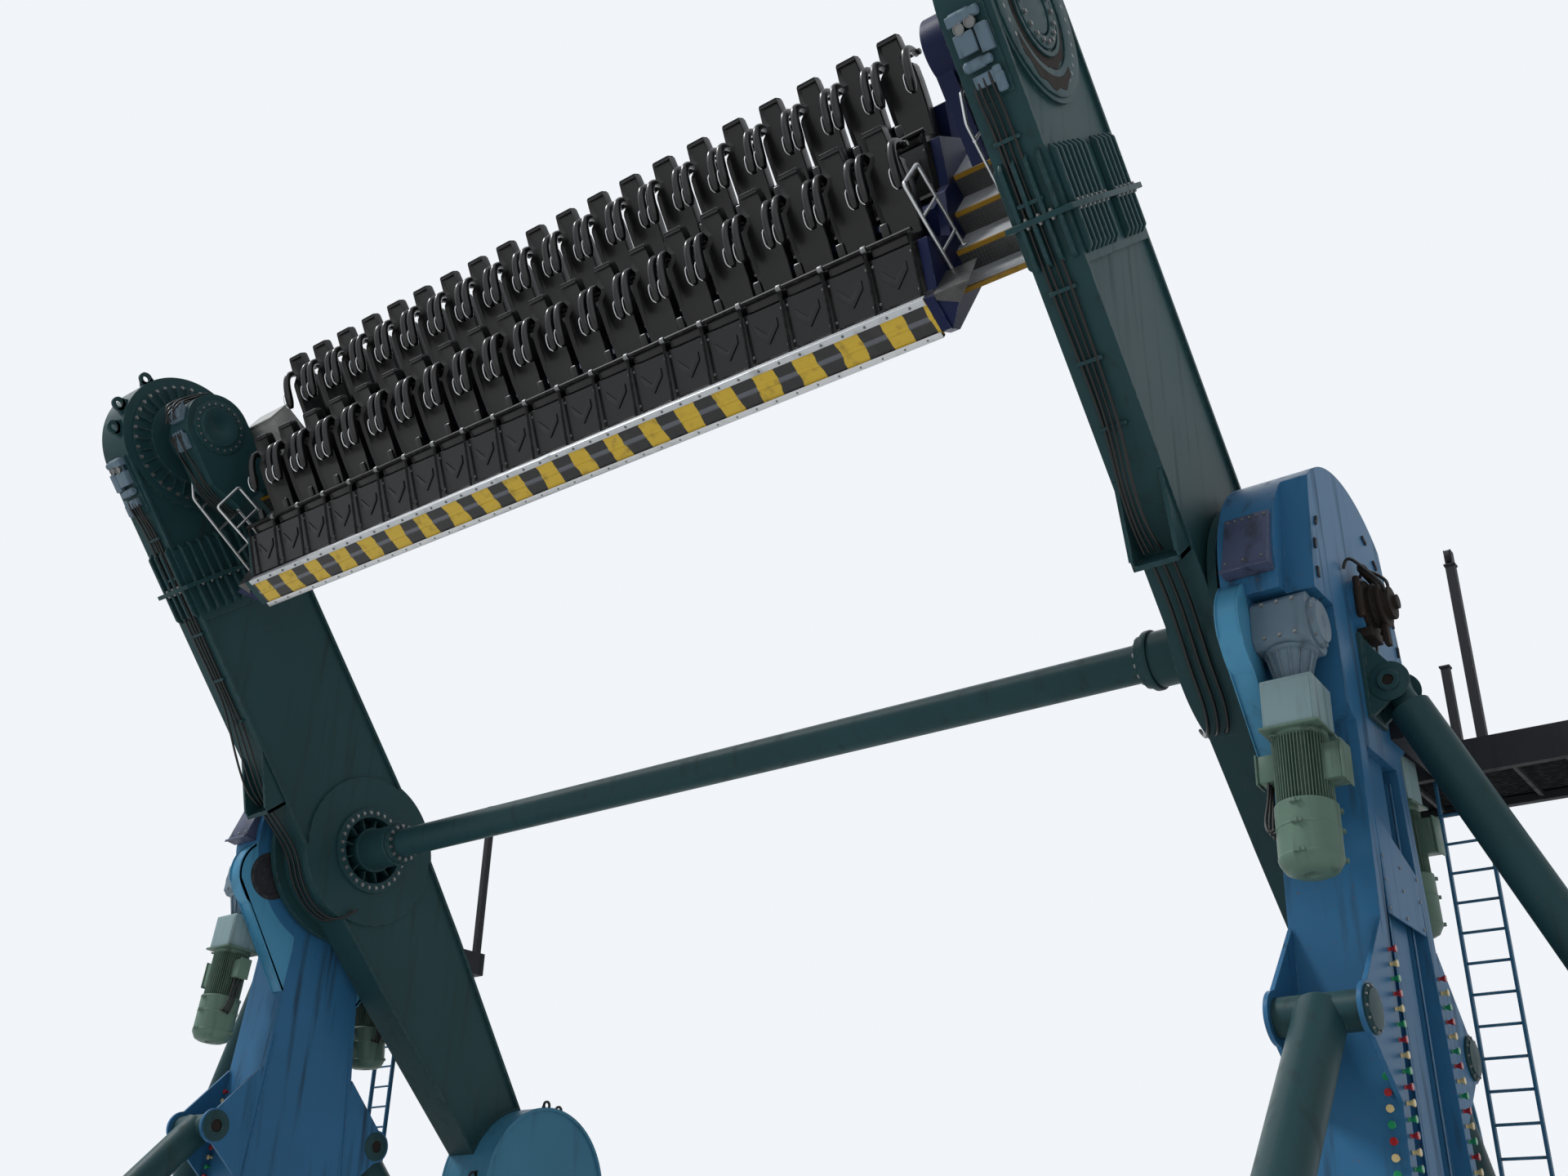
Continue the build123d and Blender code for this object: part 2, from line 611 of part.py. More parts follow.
def foot_plate(eye_half):
    """A base plate with two ears, drawn with the pin along X above the origin."""
    plate = block(-FOOT_HALF, FOOT_HALF, -FOOT_HALF, FOOT_HALF, 0, FOOT_THICK)
    inner = eye_half + RUNNING_GAP
    for side in (-1, 1):
        low, high = sorted((side * inner, side * (inner + LUG_THICK)))
        ear = [(-260, FOOT_THICK), (260, FOOT_THICK), (140, FOOT_PIN_HEIGHT + 60),
               (60, FOOT_PIN_HEIGHT + 130), (-60, FOOT_PIN_HEIGHT + 130), (-140, FOOT_PIN_HEIGHT + 60)]
        plate += side_plate(ear, low, high)
        low, high = sorted((side * (inner + LUG_THICK), side * (inner + LUG_THICK + 30)))
        plate += disc_x(80, low, high, 0, FOOT_PIN_HEIGHT)
    hole = FOOT_HALF - FOOT_HOLE_INSET
    for x in (-hole, hole):
        for y in (-hole, hole):
            plate -= Pos(x, y, 0) * Cylinder(FOOT_HOLE_RADIUS, 3 * FOOT_THICK)
    return plate


def strut_feet_right():
    """The base plate and ears under each brace of one tower."""
    middle = TOWER_INNER + TOWER_THICK / 2
    feet = [Pos(middle, side * STRUT_FOOT_Y, 0) * foot_plate(FOOT_EYE_HALF) for side in (-1, 1)]
    feet.append(Pos(SIDE_FOOT_X, 0, 0) * Rot(0, 0, 90) * foot_plate(SIDE_EYE_HALF))
    return feet


def ladder_right():
    """A straight ladder from the ground to the platform."""
    top = HUB_HEIGHT - PLATFORM_BELOW_HUB - DECK_THICK
    half = LADDER_RAIL / 2
    ladder = None
    for x in (LADDER_X, LADDER_X + LADDER_WIDTH):
        rail = block(x - LADDER_RAIL / 4, x + LADDER_RAIL / 4, LADDER_Y - half, LADDER_Y + half, 0, top)
        ladder = rail if ladder is None else ladder + rail
    height = RUNG_PITCH
    while height < top - RUNG_PITCH / 2:
        far_end = (LADDER_X + LADDER_WIDTH, LADDER_Y, height)
        ladder += rod((LADDER_X, LADDER_Y, height), far_end, RUNG_RADIUS, 6)
        height += RUNG_PITCH
    return ladder


def platform_deck():
    """The service platform behind one tower, with the two beams that carry it."""
    top = HUB_HEIGHT - PLATFORM_BELOW_HUB
    bottom = top - PLATFORM_THICK
    x1 = TOWER_INNER + TOWER_THICK
    deck = block(PLATFORM_INNER, PLATFORM_OUTER, PLATFORM_FRONT, PLATFORM_BACK, top - DECK_THICK, top)
    for y0, y1 in ((PLATFORM_FRONT, PLATFORM_FRONT + 90), (PLATFORM_BACK - 90, PLATFORM_BACK)):
        deck += block(PLATFORM_INNER, PLATFORM_OUTER, y0, y1, bottom, top)
    deck += block(PLATFORM_INNER, PLATFORM_INNER + 90, PLATFORM_FRONT, PLATFORM_BACK, bottom, top)
    deck += block(PLATFORM_OUTER - 90, PLATFORM_OUTER, PLATFORM_FRONT, PLATFORM_BACK, bottom, top)
    deck += block(x1, x1 + 120, 400, PLATFORM_BACK, bottom, bottom + 200)
    return deck


def post(x, height, width, y=PLATFORM_BACK - 100):
    """A square post that stands on the platform."""
    base = HUB_HEIGHT - PLATFORM_BELOW_HUB
    half = width / 2
    mast = block(x - half, x + half, y - half, y + half, base, base + height)
    cap = half + 12
    mast += block(x - cap, x + cap, y - cap, y + cap, base + height, base + height + 20)
    return mast


def davit(x, height):
    """A tall post with a pulley between two cheeks at its top."""
    y = PLATFORM_BACK - 100
    top = HUB_HEIGHT - PLATFORM_BELOW_HUB + height
    mast = post(x, height, 100)
    for side in (-1, 1):
        low, high = sorted((x + side * 28, x + side * 40))
        mast += block(low, high, y - 60, y + 60, top, top + 190)
    mast += disc_x(85, x - 28, x + 28, y, top + 120)
    return mast


def gondola_end(gap, thick, nose_radius, front, back):
    """The end plate under the seats and the lever that joins it to the gondola's axis."""
    x0 = ROW_HALF_LENGTH - END_FRAME_THICK / 2
    x1 = x0 + END_FRAME_THICK
    pad_front = seat_point(-BASE_LENGTH, -BASE_PAD_THICK)
    shell_foot = seat_point(SHELL_THICK, -BASE_PAD_THICK)
    half = [(FLOOR_FRONT, FLOOR_TOP), (LEG_PAN_FOOT_Y, FLOOR_TOP), pad_front, shell_foot]
    shifted = [(y + ROW_SHIFT_Y, z + ROW_SHIFT_Z) for y, z in half]
    under = [(PANEL_TOP_Y, PANEL_TOP_Z), (PANEL_TOP_Y + PANEL_THICK, PANEL_TOP_Z),
             (PANEL_KNEE_Y + PANEL_THICK, PANEL_KNEE_Z), (BEAM_BACK, FRAME_LOW),
             (FLOOR_FRONT + 160, FRAME_LOW), (FLOOR_FRONT, FLOOR_TOP - SKIRT_HEIGHT)]
    end = side_plate(half + shifted + under, x0, x1)
    foot_back = LEVER_FOOT_Y + LEVER_FOOT_DEPTH
    landing = FLOOR_TOP + ROW_SHIFT_Z
    tie_top = landing - STEP_THICK
    foot = [(LEVER_FOOT_Y, -1080), (LEVER_FOOT_Y, tie_top - 40),
            (foot_back, tie_top - 40), (foot_back, landing)]
    blade = make_face(Polyline(*(front + foot + back), close=True))
    lever_inner = x1 + gap
    lever_outer = lever_inner + thick
    end += side_sketch(Circle(nose_radius) + blade, lever_inner, lever_outer)
    end += block(x1, lever_outer, LEVER_FOOT_Y, foot_back, tie_top - LEVER_TIE_HEIGHT, tie_top)
    bearing = ARM_INNER - BEARING_DISC_THICK - RUNNING_GAP
    end += disc_x(BOSS_RADIUS, lever_outer, bearing)
    end += disc_x(AXLE_RADIUS, bearing, ARM_INNER + HUB_OPENING_DEPTH / 2)
    return end


def gondola_frame():
    """The main beam under the back row and the cross frames under the floor."""
    x = ROW_HALF_LENGTH - END_FRAME_THICK / 2
    frame = block(-x, x, BEAM_FRONT, BEAM_BACK, BEAM_LOW, BEAM_TOP)
    under = FLOOR_TOP - FLOOR_THICK
    front = FLOOR_FRONT + SKIRT_THICK
    outline = [(front, under), (front, FLOOR_TOP - SKIRT_HEIGHT), (front + 120, FRAME_LOW),
               (BEAM_FRONT, FRAME_LOW), (BEAM_BACK, BEAM_LOW - 100), (BEAM_BACK, BEAM_LOW),
               (BEAM_FRONT + 20, BEAM_LOW + 20), (BEAM_FRONT, under)]
    for index in range(FRAMES):
        place = (index - (FRAMES - 1) / 2) * 2 * x * 0.92 / (FRAMES - 1)
        frame += side_plate(outline, place - 40, place + 40)
    return frame


def row_beam(row):
    """The box beam under one row of seats and the webs that stand on its floor."""
    x = ROW_HALF_LENGTH - END_FRAME_THICK / 2
    beam = block(-x, x, -BASE_LENGTH + 20, SHELL_THICK - 10,
                 -BASE_PAD_THICK - ROW_BEAM_DEPTH, -BASE_PAD_THICK)
    beam = in_seat(beam, 0, 0)
    web_front = seat_point(-BASE_LENGTH + 60, -BASE_PAD_THICK - ROW_BEAM_DEPTH + 40)
    web_back = seat_point(-BASE_LENGTH + 240, -BASE_PAD_THICK - ROW_BEAM_DEPTH + 40)
    for index in range(FRAMES):
        place = (index - (FRAMES - 1) / 2) * 2 * x * 0.92 / (FRAMES - 1)
        beam += side_plate([web_front, web_back, (web_back[0], FLOOR_TOP), (web_front[0], FLOOR_TOP)],
                           place - 20, place + 20)
    return in_row(beam, row)


def in_row(shape, row):
    """Shift a shape drawn for the front row to row 0 or row 1."""
    return Pos(0, row * ROW_SHIFT_Y, row * ROW_SHIFT_Z) * shape


def in_seat(shape, x, row):
    """Place a shape drawn with the hip line at the origin and the seat back upright."""
    return in_row(Pos(x, HIP_Y, SEAT_TOP) * Rot(-SEAT_LEAN, 0, 0) * shape, row)


def seat_point(y, z):
    """Where a point drawn in the seat's own side view lies in the gondola's side view."""
    lean = math.radians(SEAT_LEAN)
    return (HIP_Y + y * math.cos(lean) + z * math.sin(lean),
            SEAT_TOP - y * math.sin(lean) + z * math.cos(lean))


def seat_places():
    """The X position of each seat in a row."""
    return [(index - (SEATS - 1) / 2) * SEAT_PITCH for index in range(SEATS)]


def floor_plate(row):
    """The floor of one row."""
    x = ROW_HALF_LENGTH - END_FRAME_THICK / 2
    floor = block(-x, x, FLOOR_FRONT + SKIRT_THICK, FLOOR_BACK, FLOOR_TOP - FLOOR_THICK, FLOOR_TOP)
    return in_row(floor, row)


def front_skirt():
    """The board along the front of the lower floor, with an angle above and a lip below."""
    x = ROW_HALF_LENGTH - END_FRAME_THICK / 2
    low = FLOOR_TOP - SKIRT_HEIGHT
    skirt = block(-x, x, FLOOR_FRONT, FLOOR_FRONT + SKIRT_THICK, low, FLOOR_TOP)
    front = FLOOR_FRONT - SKIRT_ANGLE
    skirt += block(-x, x, front, FLOOR_FRONT, FLOOR_TOP - FLOOR_THICK, FLOOR_TOP)
    skirt += block(-x, x, front, FLOOR_FRONT + SKIRT_THICK, low - SKIRT_LIP, low)
    return skirt


def rear_panel():
    """The panel behind the back row, folded in under the main beam."""
    x = ROW_HALF_LENGTH - END_FRAME_THICK / 2
    outline = [(PANEL_TOP_Y, PANEL_TOP_Z), (PANEL_TOP_Y + PANEL_THICK, PANEL_TOP_Z),
               (PANEL_KNEE_Y + PANEL_THICK, PANEL_KNEE_Z), (BEAM_BACK + PANEL_THICK, BEAM_LOW),
               (BEAM_BACK, BEAM_LOW), (BEAM_BACK, BEAM_LOW + PANEL_THICK), (PANEL_KNEE_Y, PANEL_KNEE_Z)]
    return side_plate(outline, -x, x)


def seat_back():
    """A moulded shell: head block, neck, shoulders and hips, with a saddle for the shaft behind."""
    top = SEAT_HEIGHT
    half = [(125, top), (142, top - 190), (104, top - 250), (150, top - 320), (213, top - 390),
            (222, top - 800), (190, -BASE_PAD_THICK)]
    points = half + [(-x, z) for x, z in reversed(half)]
    face = make_face(Polyline(*[(x, 0, z) for x, z in points], close=True))
    shell = extrude(face, amount=SHELL_THICK, dir=(0, 1, 0))
    z = top - SHAFT_BELOW_TOP
    y = SHELL_THICK + SHAFT_BACK
    slot = SHAFT_RADIUS + RUNNING_GAP
    outline = [(SHELL_THICK, z - 60), (y + slot + 25, z - 60), (y + slot + 25, z + 20), (y + slot, z + 20),
               (y + slot, z - slot), (y - slot, z - slot), (y - slot, z + 20), (SHELL_THICK, z + 20)]
    return shell + side_plate(outline, -60, 60)


def seat_pad():
    """The pad that a rider sits on, dished behind its raised front."""
    front = -BASE_LENGTH
    outline = [(front, -BASE_PAD_THICK), (-RUNNING_GAP, -BASE_PAD_THICK), (-RUNNING_GAP, 0),
               (front + PAD_RISE_LENGTH, -PAD_DISH), (front, PAD_RISE)]
    return side_plate(outline, -SEAT_WIDTH / 2, SEAT_WIDTH / 2)


def seat_horn():
    """The horn between the rider's legs, standing on the raised front of the pad."""
    front = -BASE_LENGTH
    foot = PAD_RISE - HORN_DEPTH * (PAD_RISE + PAD_DISH) / PAD_RISE_LENGTH
    outline = [(front, PAD_RISE), (front + HORN_DEPTH, foot),
               (front + HORN_DEPTH, HORN_HEIGHT), (front, HORN_HEIGHT)]
    return side_plate(outline, -HORN_HALF_WIDTH, HORN_HALF_WIDTH)


def band(path, halves):
    """The outline of a bent bar from its middle line and its half thickness at each point."""
    outer = []
    inner = []
    for index, (y, z) in enumerate(path):
        before = path[max(index - 1, 0)]
        after = path[min(index + 1, len(path) - 1)]
        length = math.hypot(after[0] - before[0], after[1] - before[1])
        ny = -(after[1] - before[1]) / length * halves[index]
        nz = (after[0] - before[0]) / length * halves[index]
        outer.append((y + ny, z + nz))
        inner.append((y - ny, z - nz))
    return outer + inner[::-1]


def harness():
    """One over-shoulder restraint: two padded hoops on a shaft behind the neck."""
    z = SEAT_HEIGHT - SHAFT_BELOW_TOP
    y = SHELL_THICK + SHAFT_BACK
    path = [(y + 30, z), (y - 110, z + 28), (-85, z - 25), (-160, z - 180), (-190, z - 470)]
    outline = band(path, (45, 48, 48, 52, 62))
    shaft = Plane.YZ.offset(-HOOP_X) * (Pos(y, z) * RegularPolygon(SHAFT_RADIUS, 8))
    restraint = extrude(shaft, amount=2 * HOOP_X)
    for side in (-1, 1):
        restraint += side_plate(outline, side * HOOP_X - HOOP_RADIUS, side * HOOP_X + HOOP_RADIUS)
    return restraint


def seat_row(piece, row):
    """Twenty copies of one seat piece along a row."""
    return [in_gondola(in_seat(piece, x, row)) for x in seat_places()]


def leg_pan(row):
    """The sloped panel behind the riders' calves."""
    x = ROW_HALF_LENGTH - END_FRAME_THICK / 2
    corner_y, corner_z = seat_point(-BASE_LENGTH, -BASE_PAD_THICK)
    back = LEG_PAN_THICK
    high = (corner_y - back - RUNNING_GAP, corner_z)
    low = (LEG_PAN_FOOT_Y, FLOOR_TOP)
    return in_row(side_plate([high, low, (low[0] + back, low[1]), (high[0] + back, high[1])], -x, x), row)


def leg_rail(row):
    """The tube along the front of the seats and the bars between the riders' legs that carry it."""
    x = ROW_HALF_LENGTH - END_FRAME_THICK / 2 - 5
    rail_y, rail_z = seat_point(-BASE_LENGTH - RAIL_RADIUS - RAIL_GAP, -RAIL_BELOW_PAD)
    rail = rod((-x, rail_y, rail_z), (x, rail_y, rail_z), RAIL_RADIUS, 8)
    below = block(-2 * x, 2 * x, 2 * FLOOR_FRONT, 0, 2 * FLOOR_TOP, FLOOR_TOP)
    pieces = [rail]
    for index in range(SEATS + 1):
        place = (index - SEATS / 2) * SEAT_PITCH
        bar = rod((place, FLOOR_FRONT + LEG_BAR_FOOT, FLOOR_TOP), (place, rail_y, rail_z), LEG_BAR_RADIUS, 4)
        pieces.append(bar - rail - below)
    return [in_row(piece, row) for piece in pieces]


def end_steps(lever_gap):
    """The stair beside the seats, from one step below the lower floor to the upper one."""
    x0 = ROW_HALF_LENGTH + END_FRAME_THICK / 2
    x1 = x0 + STEP_WIDTH
    stair = None
    for index in range(STEPS):
        y = STEP_FIRST_Y + index * STEP_RUN
        z = STEP_FIRST_Z + index * STEP_RISE
        last = index == STEPS - 1
        tread = block(x0, x1, y, y + (LANDING_DEPTH if last else STEP_RUN), z - STEP_THICK, z)
        stair = tread if stair is None else stair + tread
        if not last:
            back = y + STEP_RUN
            stair += block(x0, x1, back, back + RISER_THICK, z - STEP_THICK, z + STEP_RISE - STEP_THICK)
    landing = STEP_FIRST_Z + (STEPS - 1) * STEP_RISE
    notch = block(x0 + lever_gap - RUNNING_GAP, x1 + 1, LEVER_FOOT_Y - RUNNING_GAP,
                  LEVER_FOOT_Y + LEVER_FOOT_DEPTH + RUNNING_GAP, landing - STEP_THICK - 1, landing + 1)
    return stair - notch


def bent_tube(x, points):
    """A tube that follows a path in the gondola's side view, with square corners."""
    tube = None
    for start, end in zip(points, points[1:]):
        piece = rod((x, *start), (x, *end), GUARD_RADIUS, GUARD_SIDES)
        tube = piece if tube is None else tube + piece
    return tube


def end_handrails_right():
    """The two ladder-like guards of bent tube, beside the seats and beside the arm."""
    x0 = ROW_HALF_LENGTH + END_FRAME_THICK / 2
    stair = end_steps(RIGHT_LEVER_GAP)
    low = STEP_FIRST_Z - STEP_THICK / 2
    high = low + STEP_RISE
    inner_x = x0 + INNER_GUARD_OUT
    inner = bent_tube(inner_x, [(-1070, low), (-1100, -730), (-600, -730), (-560, high)])
    for z in (-1120, -1520):
        inner += bent_tube(inner_x, [(-1085, z), (-580, z)])
    outer_x = x0 + STEP_WIDTH - OUTER_GUARD_INSET
    outer = bent_tube(outer_x, [(-830, low), (-765, -560), (-520, -315), (-285, -325), (-300, high)])
    for z in (-730, -1120, -1540):
        outer += bent_tube(outer_x, [(-780, z), (-295, z)])
    return [inner - stair, outer - stair]


def control_cabinet():
    """The grey box on the left end of the gondola, at the back of the landing."""
    x = -(ROW_HALF_LENGTH + END_FRAME_THICK / 2)
    z = STEP_FIRST_Z + (STEPS - 1) * STEP_RISE
    back = STEP_FIRST_Y + (STEPS - 1) * STEP_RUN + LANDING_DEPTH
    return block(x - CABINET_WIDTH, x, back - CABINET_DEPTH, back, z, z + CABINET_HEIGHT)


def export_node(name, shape):
    """Write one named piece as a STEP file."""
    solids = []
    for item in shape if isinstance(shape, list) else [shape]:
        solids.extend(item.solids())
    export_step(Compound(children=solids) if len(solids) > 1 else solids[0], "parts/" + name + ".step")


def root_nodes():
    """The pieces that stand still, for the right-hand tower."""
    platform = platform_deck()
    return {
        "tower_column": tower_column_right(),
        "tower_head": tower_head_right(),
        "gear_covers": gear_cover_right(),
        "gearboxes": gearboxes_right(),
        "drive_motors": drive_motors_right(),
        "strut_brackets": strut_brackets_right(),
        "struts": struts_right(),
        "strut_feet": strut_feet_right(),
        "ladder": ladder_right(),
        "service_platform": platform,
    }


def arm_nodes():
    """The pieces of the right-hand arm, drawn with the arm upright."""
    return {
        "arm": arm_right(),
        "arm_splice": splice_right(),
        "counterweight": counterweight_right(),
        "slewing_ring": slewing_ring_right(),
        "gondola_bearing": gondola_bearing_right(),
        "arm_fittings": arm_fittings_right(),
    }


def gondola_end_nodes():
    """The end plates, levers and stairs at both ends of the gondola."""
    right = gondola_end(RIGHT_LEVER_GAP, RIGHT_LEVER_THICK, RIGHT_NOSE_RADIUS,
                        RIGHT_LEVER_FRONT, RIGHT_LEVER_BACK)
    left = gondola_end(LEFT_LEVER_GAP, LEFT_LEVER_THICK, LEFT_NOSE_RADIUS,
                       LEFT_LEVER_FRONT, LEFT_LEVER_BACK)
    return {
        "gondola_end_right": right,
        "gondola_end_left": left_of(left),
        "end_steps_right": end_steps(RIGHT_LEVER_GAP),
        "end_steps_left": left_of(end_steps(LEFT_LEVER_GAP)),
    }


def both_sides(shape):
    """A piece and its mirror image."""
    return [shape, left_of(shape)]


def as_list(shape):
    """A list of shapes from one shape or several."""
    return shape if isinstance(shape, list) else [shape]


def main():
    """Build every piece and write it."""
    os.makedirs("parts", exist_ok=True)
    pieces = {}
    for name, shape in root_nodes().items():
        pieces[name + "_right"] = as_list(shape)
        pieces[name + "_left"] = [left_of(item) for item in as_list(shape)]
    tall = davit(TOWER_INNER + TOWER_THICK + TALL_POST_OUT, TALL_POST)
    short = post(TOWER_INNER + TOWER_THICK, SHORT_POST, SHORT_POST_WIDTH)
    pieces["platform_posts_right"] = [tall, short]
    pieces["platform_posts_left"] = [left_of(davit(PLATFORM_INNER + LEFT_POST_INSET, LEFT_POST))]
    for name, shape in arm_nodes().items():
        pieces[name + "_right"] = [in_arm(item) for item in as_list(shape)]
        pieces[name + "_left"] = [left_of(in_arm(item)) for item in as_list(shape)]
    pieces["cross_tube"] = [in_arm(cross_tube())]
    pieces["hub_rings"] = both_sides(in_arm(hub_ring_right()))
    for name, shape in gondola_end_nodes().items():
        pieces[name] = [in_gondola(shape)]
    guards = [in_gondola(guard) for guard in end_handrails_right()]
    pieces["end_handrails"] = [side for guard in guards for side in both_sides(guard)]
    pieces["control_cabinet"] = [in_gondola(control_cabinet())]
    pieces["gondola_frame"] = [in_gondola(gondola_frame())]
    pieces["front_skirt"] = [in_gondola(front_skirt())]
    pieces["rear_panel"] = [in_gondola(rear_panel())]
    pieces["row_beams"] = [in_gondola(row_beam(row)) for row in (0, 1)]
    pieces["leg_pans"] = [in_gondola(leg_pan(row)) for row in (0, 1)]
    pieces["leg_rails"] = [in_gondola(piece) for row in (0, 1) for piece in leg_rail(row)]
    for row, word in ((0, "front"), (1, "back")):
        pieces["floor_" + word] = [in_gondola(floor_plate(row))]
        pieces["seat_backs_" + word] = seat_row(seat_back(), row)
        pieces["seat_bases_" + word] = seat_row(seat_pad(), row) + seat_row(seat_horn(), row)
        pieces["harnesses_" + word] = seat_row(harness(), row)
    for name, shape in pieces.items():
        export_node(name, shape)
    print(len(pieces), "nodes")


main()
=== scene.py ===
# %% [markdown]
# # A swinging gondola ride
# Two braced towers carry a pair of counterweighted arms, and a gondola with two rows of
# seats hangs between the arms' upper ends. The solids are loaded first as a fixed frame.
# Everything below either gives one of them a finish or stands a finer piece in its place.

# %% Load the frame
import json
import math

import bpy
from mathutils import Matrix, Vector


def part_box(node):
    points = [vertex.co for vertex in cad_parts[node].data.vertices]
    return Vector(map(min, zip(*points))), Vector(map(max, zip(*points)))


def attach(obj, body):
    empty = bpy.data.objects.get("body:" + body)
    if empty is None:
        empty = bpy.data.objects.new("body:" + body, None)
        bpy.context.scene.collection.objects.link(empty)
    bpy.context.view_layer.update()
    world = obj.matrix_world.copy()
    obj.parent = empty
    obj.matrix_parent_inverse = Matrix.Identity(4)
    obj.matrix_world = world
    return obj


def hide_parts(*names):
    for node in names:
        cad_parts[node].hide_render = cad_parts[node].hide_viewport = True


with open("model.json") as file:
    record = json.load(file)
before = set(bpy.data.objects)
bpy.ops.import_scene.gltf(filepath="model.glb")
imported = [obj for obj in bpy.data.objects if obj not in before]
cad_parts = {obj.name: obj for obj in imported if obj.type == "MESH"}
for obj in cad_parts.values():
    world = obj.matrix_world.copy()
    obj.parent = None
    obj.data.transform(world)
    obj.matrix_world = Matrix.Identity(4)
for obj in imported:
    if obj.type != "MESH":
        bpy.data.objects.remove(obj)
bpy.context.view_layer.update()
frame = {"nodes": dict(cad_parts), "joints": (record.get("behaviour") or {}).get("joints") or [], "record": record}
nodes = frame["nodes"]

# %% [markdown]
# ## Places
# The ride has three spaces of its own: the arm's, with the hub at its origin and the arm
# upright; the gondola's, with its axis at the origin and its floors level; and the seat's,
# with the hip line at the origin and the back upright. Drawing each piece in its own space
# keeps the numbers simple. The hub and the gondola's axis are read from the joints.

# %% Spaces
joints = {joint["name"]: joint for joint in frame["joints"]}
hub = Vector(joints["main_axis"]["pos_m"])
gondola_axis = Vector(joints["gondola_axis"]["pos_m"])
arm_swing = math.atan2(hub.y - gondola_axis.y, gondola_axis.z - hub.z)
gondola_reach = (gondola_axis - hub).length

arm_space = Matrix.Translation(hub) @ Matrix.Rotation(arm_swing, 4, "X")
gondola_turn = math.radians(20)
gondola_space = Matrix.Translation(gondola_axis) @ Matrix.Rotation(arm_swing + gondola_turn, 4, "X")
hub_space = Matrix.Translation(hub)
mirror_sides = Matrix.Scale(-1, 4, (1, 0, 0))
end_spaces = {"right": gondola_space, "left": gondola_space @ mirror_sides}

seats_in_row = 20
seat_pitch = 0.54
seat_offsets = [(index - (seats_in_row - 1) / 2) * seat_pitch for index in range(seats_in_row)]
row_shift = Vector((0, 1.447, 0.495))
hip = Vector((0, -0.645, -1.362))
seat_lean = math.radians(26)
row_half = 5.435
rows = ((0, "front"), (1, "back"))
floor_top = -1.71
floor_front = -1.62
board_low = floor_top - 0.385
swage_level = board_low + 0.17


def seat_spaces(row):
    """The spaces of all the seats, from the left, in row 0 or row 1."""
    places = [hip + row_shift * row + Vector((x, 0, 0)) for x in seat_offsets]
    return [gondola_space @ Matrix.Translation(place) @ Matrix.Rotation(-seat_lean, 4, "X")
            for place in places]


def row_space(row):
    """The gondola's space, shifted to one row."""
    return gondola_space @ Matrix.Translation(row_shift * row)


print("arm swing", round(math.degrees(arm_swing), 2), "degrees, reach", round(gondola_reach, 3), "m")

# %% [markdown]
# ## Camera
# The photograph looks up from the ground in front of the right-hand tower. A camera is
# three directions and a place: forward follows from a compass angle and a height angle,
# and a small roll turns the other two about it.

# %% Camera
camera_place = Vector((12.016, -14.067, 3.105))
camera_azimuth = math.radians(37.899)
camera_height = math.radians(26.027)
camera_roll = math.radians(1.347)

forward = Vector((-math.sin(camera_azimuth) * math.cos(camera_height),
                  math.cos(camera_azimuth) * math.cos(camera_height),
                  math.sin(camera_height)))
level_right = Vector((math.cos(camera_azimuth), math.sin(camera_azimuth), 0))
level_up = level_right.cross(forward)
right = level_right * math.cos(camera_roll) + level_up * math.sin(camera_roll)
up = level_up * math.cos(camera_roll) - level_right * math.sin(camera_roll)

camera_data = bpy.data.cameras.new("camera")
camera_data.lens = 35.65
camera_data.sensor_width = 36
camera_data.clip_end = 500
camera = bpy.data.objects.new("camera", camera_data)
camera.matrix_world = Matrix.Translation(camera_place) @ Matrix((right, up, -forward)).transposed().to_4x4()
bpy.context.scene.collection.objects.link(camera)
bpy.context.scene.camera = camera
print("camera at", tuple(camera_place))

# %% [markdown]
# ## Making shapes
# Steel plates are outlines made thick, so most pieces start as a filled circle with as many
# corners as the outline has. The corners are moved to the outline, the face is extruded,
# and a bevel rounds the edges so that they catch the light as real ones do. An operator
# acts on all that is selected, so each helper first deselects everything.

# %% Modelling helpers
def deselect():
    """Leave edit mode and select nothing."""
    if bpy.context.object and bpy.context.object.mode != "OBJECT":
        bpy.ops.object.mode_set(mode="OBJECT")
    bpy.ops.object.select_all(action="DESELECT")


def activate(piece):
    """Select one piece only."""
    deselect()
    piece.select_set(True)
    bpy.context.view_layer.objects.active = piece


def tidy_normals(piece):
    """Merge doubled points and point every face outwards."""
    activate(piece)
    bpy.ops.object.mode_set(mode="EDIT")
    bpy.ops.mesh.select_all(action="SELECT")
    bpy.ops.mesh.remove_doubles(threshold=0.0001)
    bpy.ops.mesh.normals_make_consistent(inside=False)
    bpy.ops.object.mode_set(mode="OBJECT")
    return piece


def select_faces(piece, test):
    """Enter edit mode with the faces selected for which test(centre, normal) is true."""
    activate(piece)
    for edge in piece.data.edges:
        edge.select = False
    for vertex in piece.data.vertices:
        vertex.select = False
    for face in piece.data.polygons:
        face.select = test(face.center, face.normal)
    bpy.ops.object.mode_set(mode="EDIT")
    bpy.ops.mesh.select_mode(type="FACE")


def soften(piece, width, segments=2, angle=35):
    """Round the sharp edges and shade the rest smooth."""
    activate(piece)
    edge = piece.modifiers.new("rounded", "BEVEL")
    edge.width = width
    edge.segments = segments
    edge.limit_method = "ANGLE"
    edge.angle_limit = math.radians(angle)
    bpy.ops.object.modifier_apply(modifier="rounded")
    bpy.ops.object.shade_smooth_by_angle(angle=math.radians(angle))
    return piece


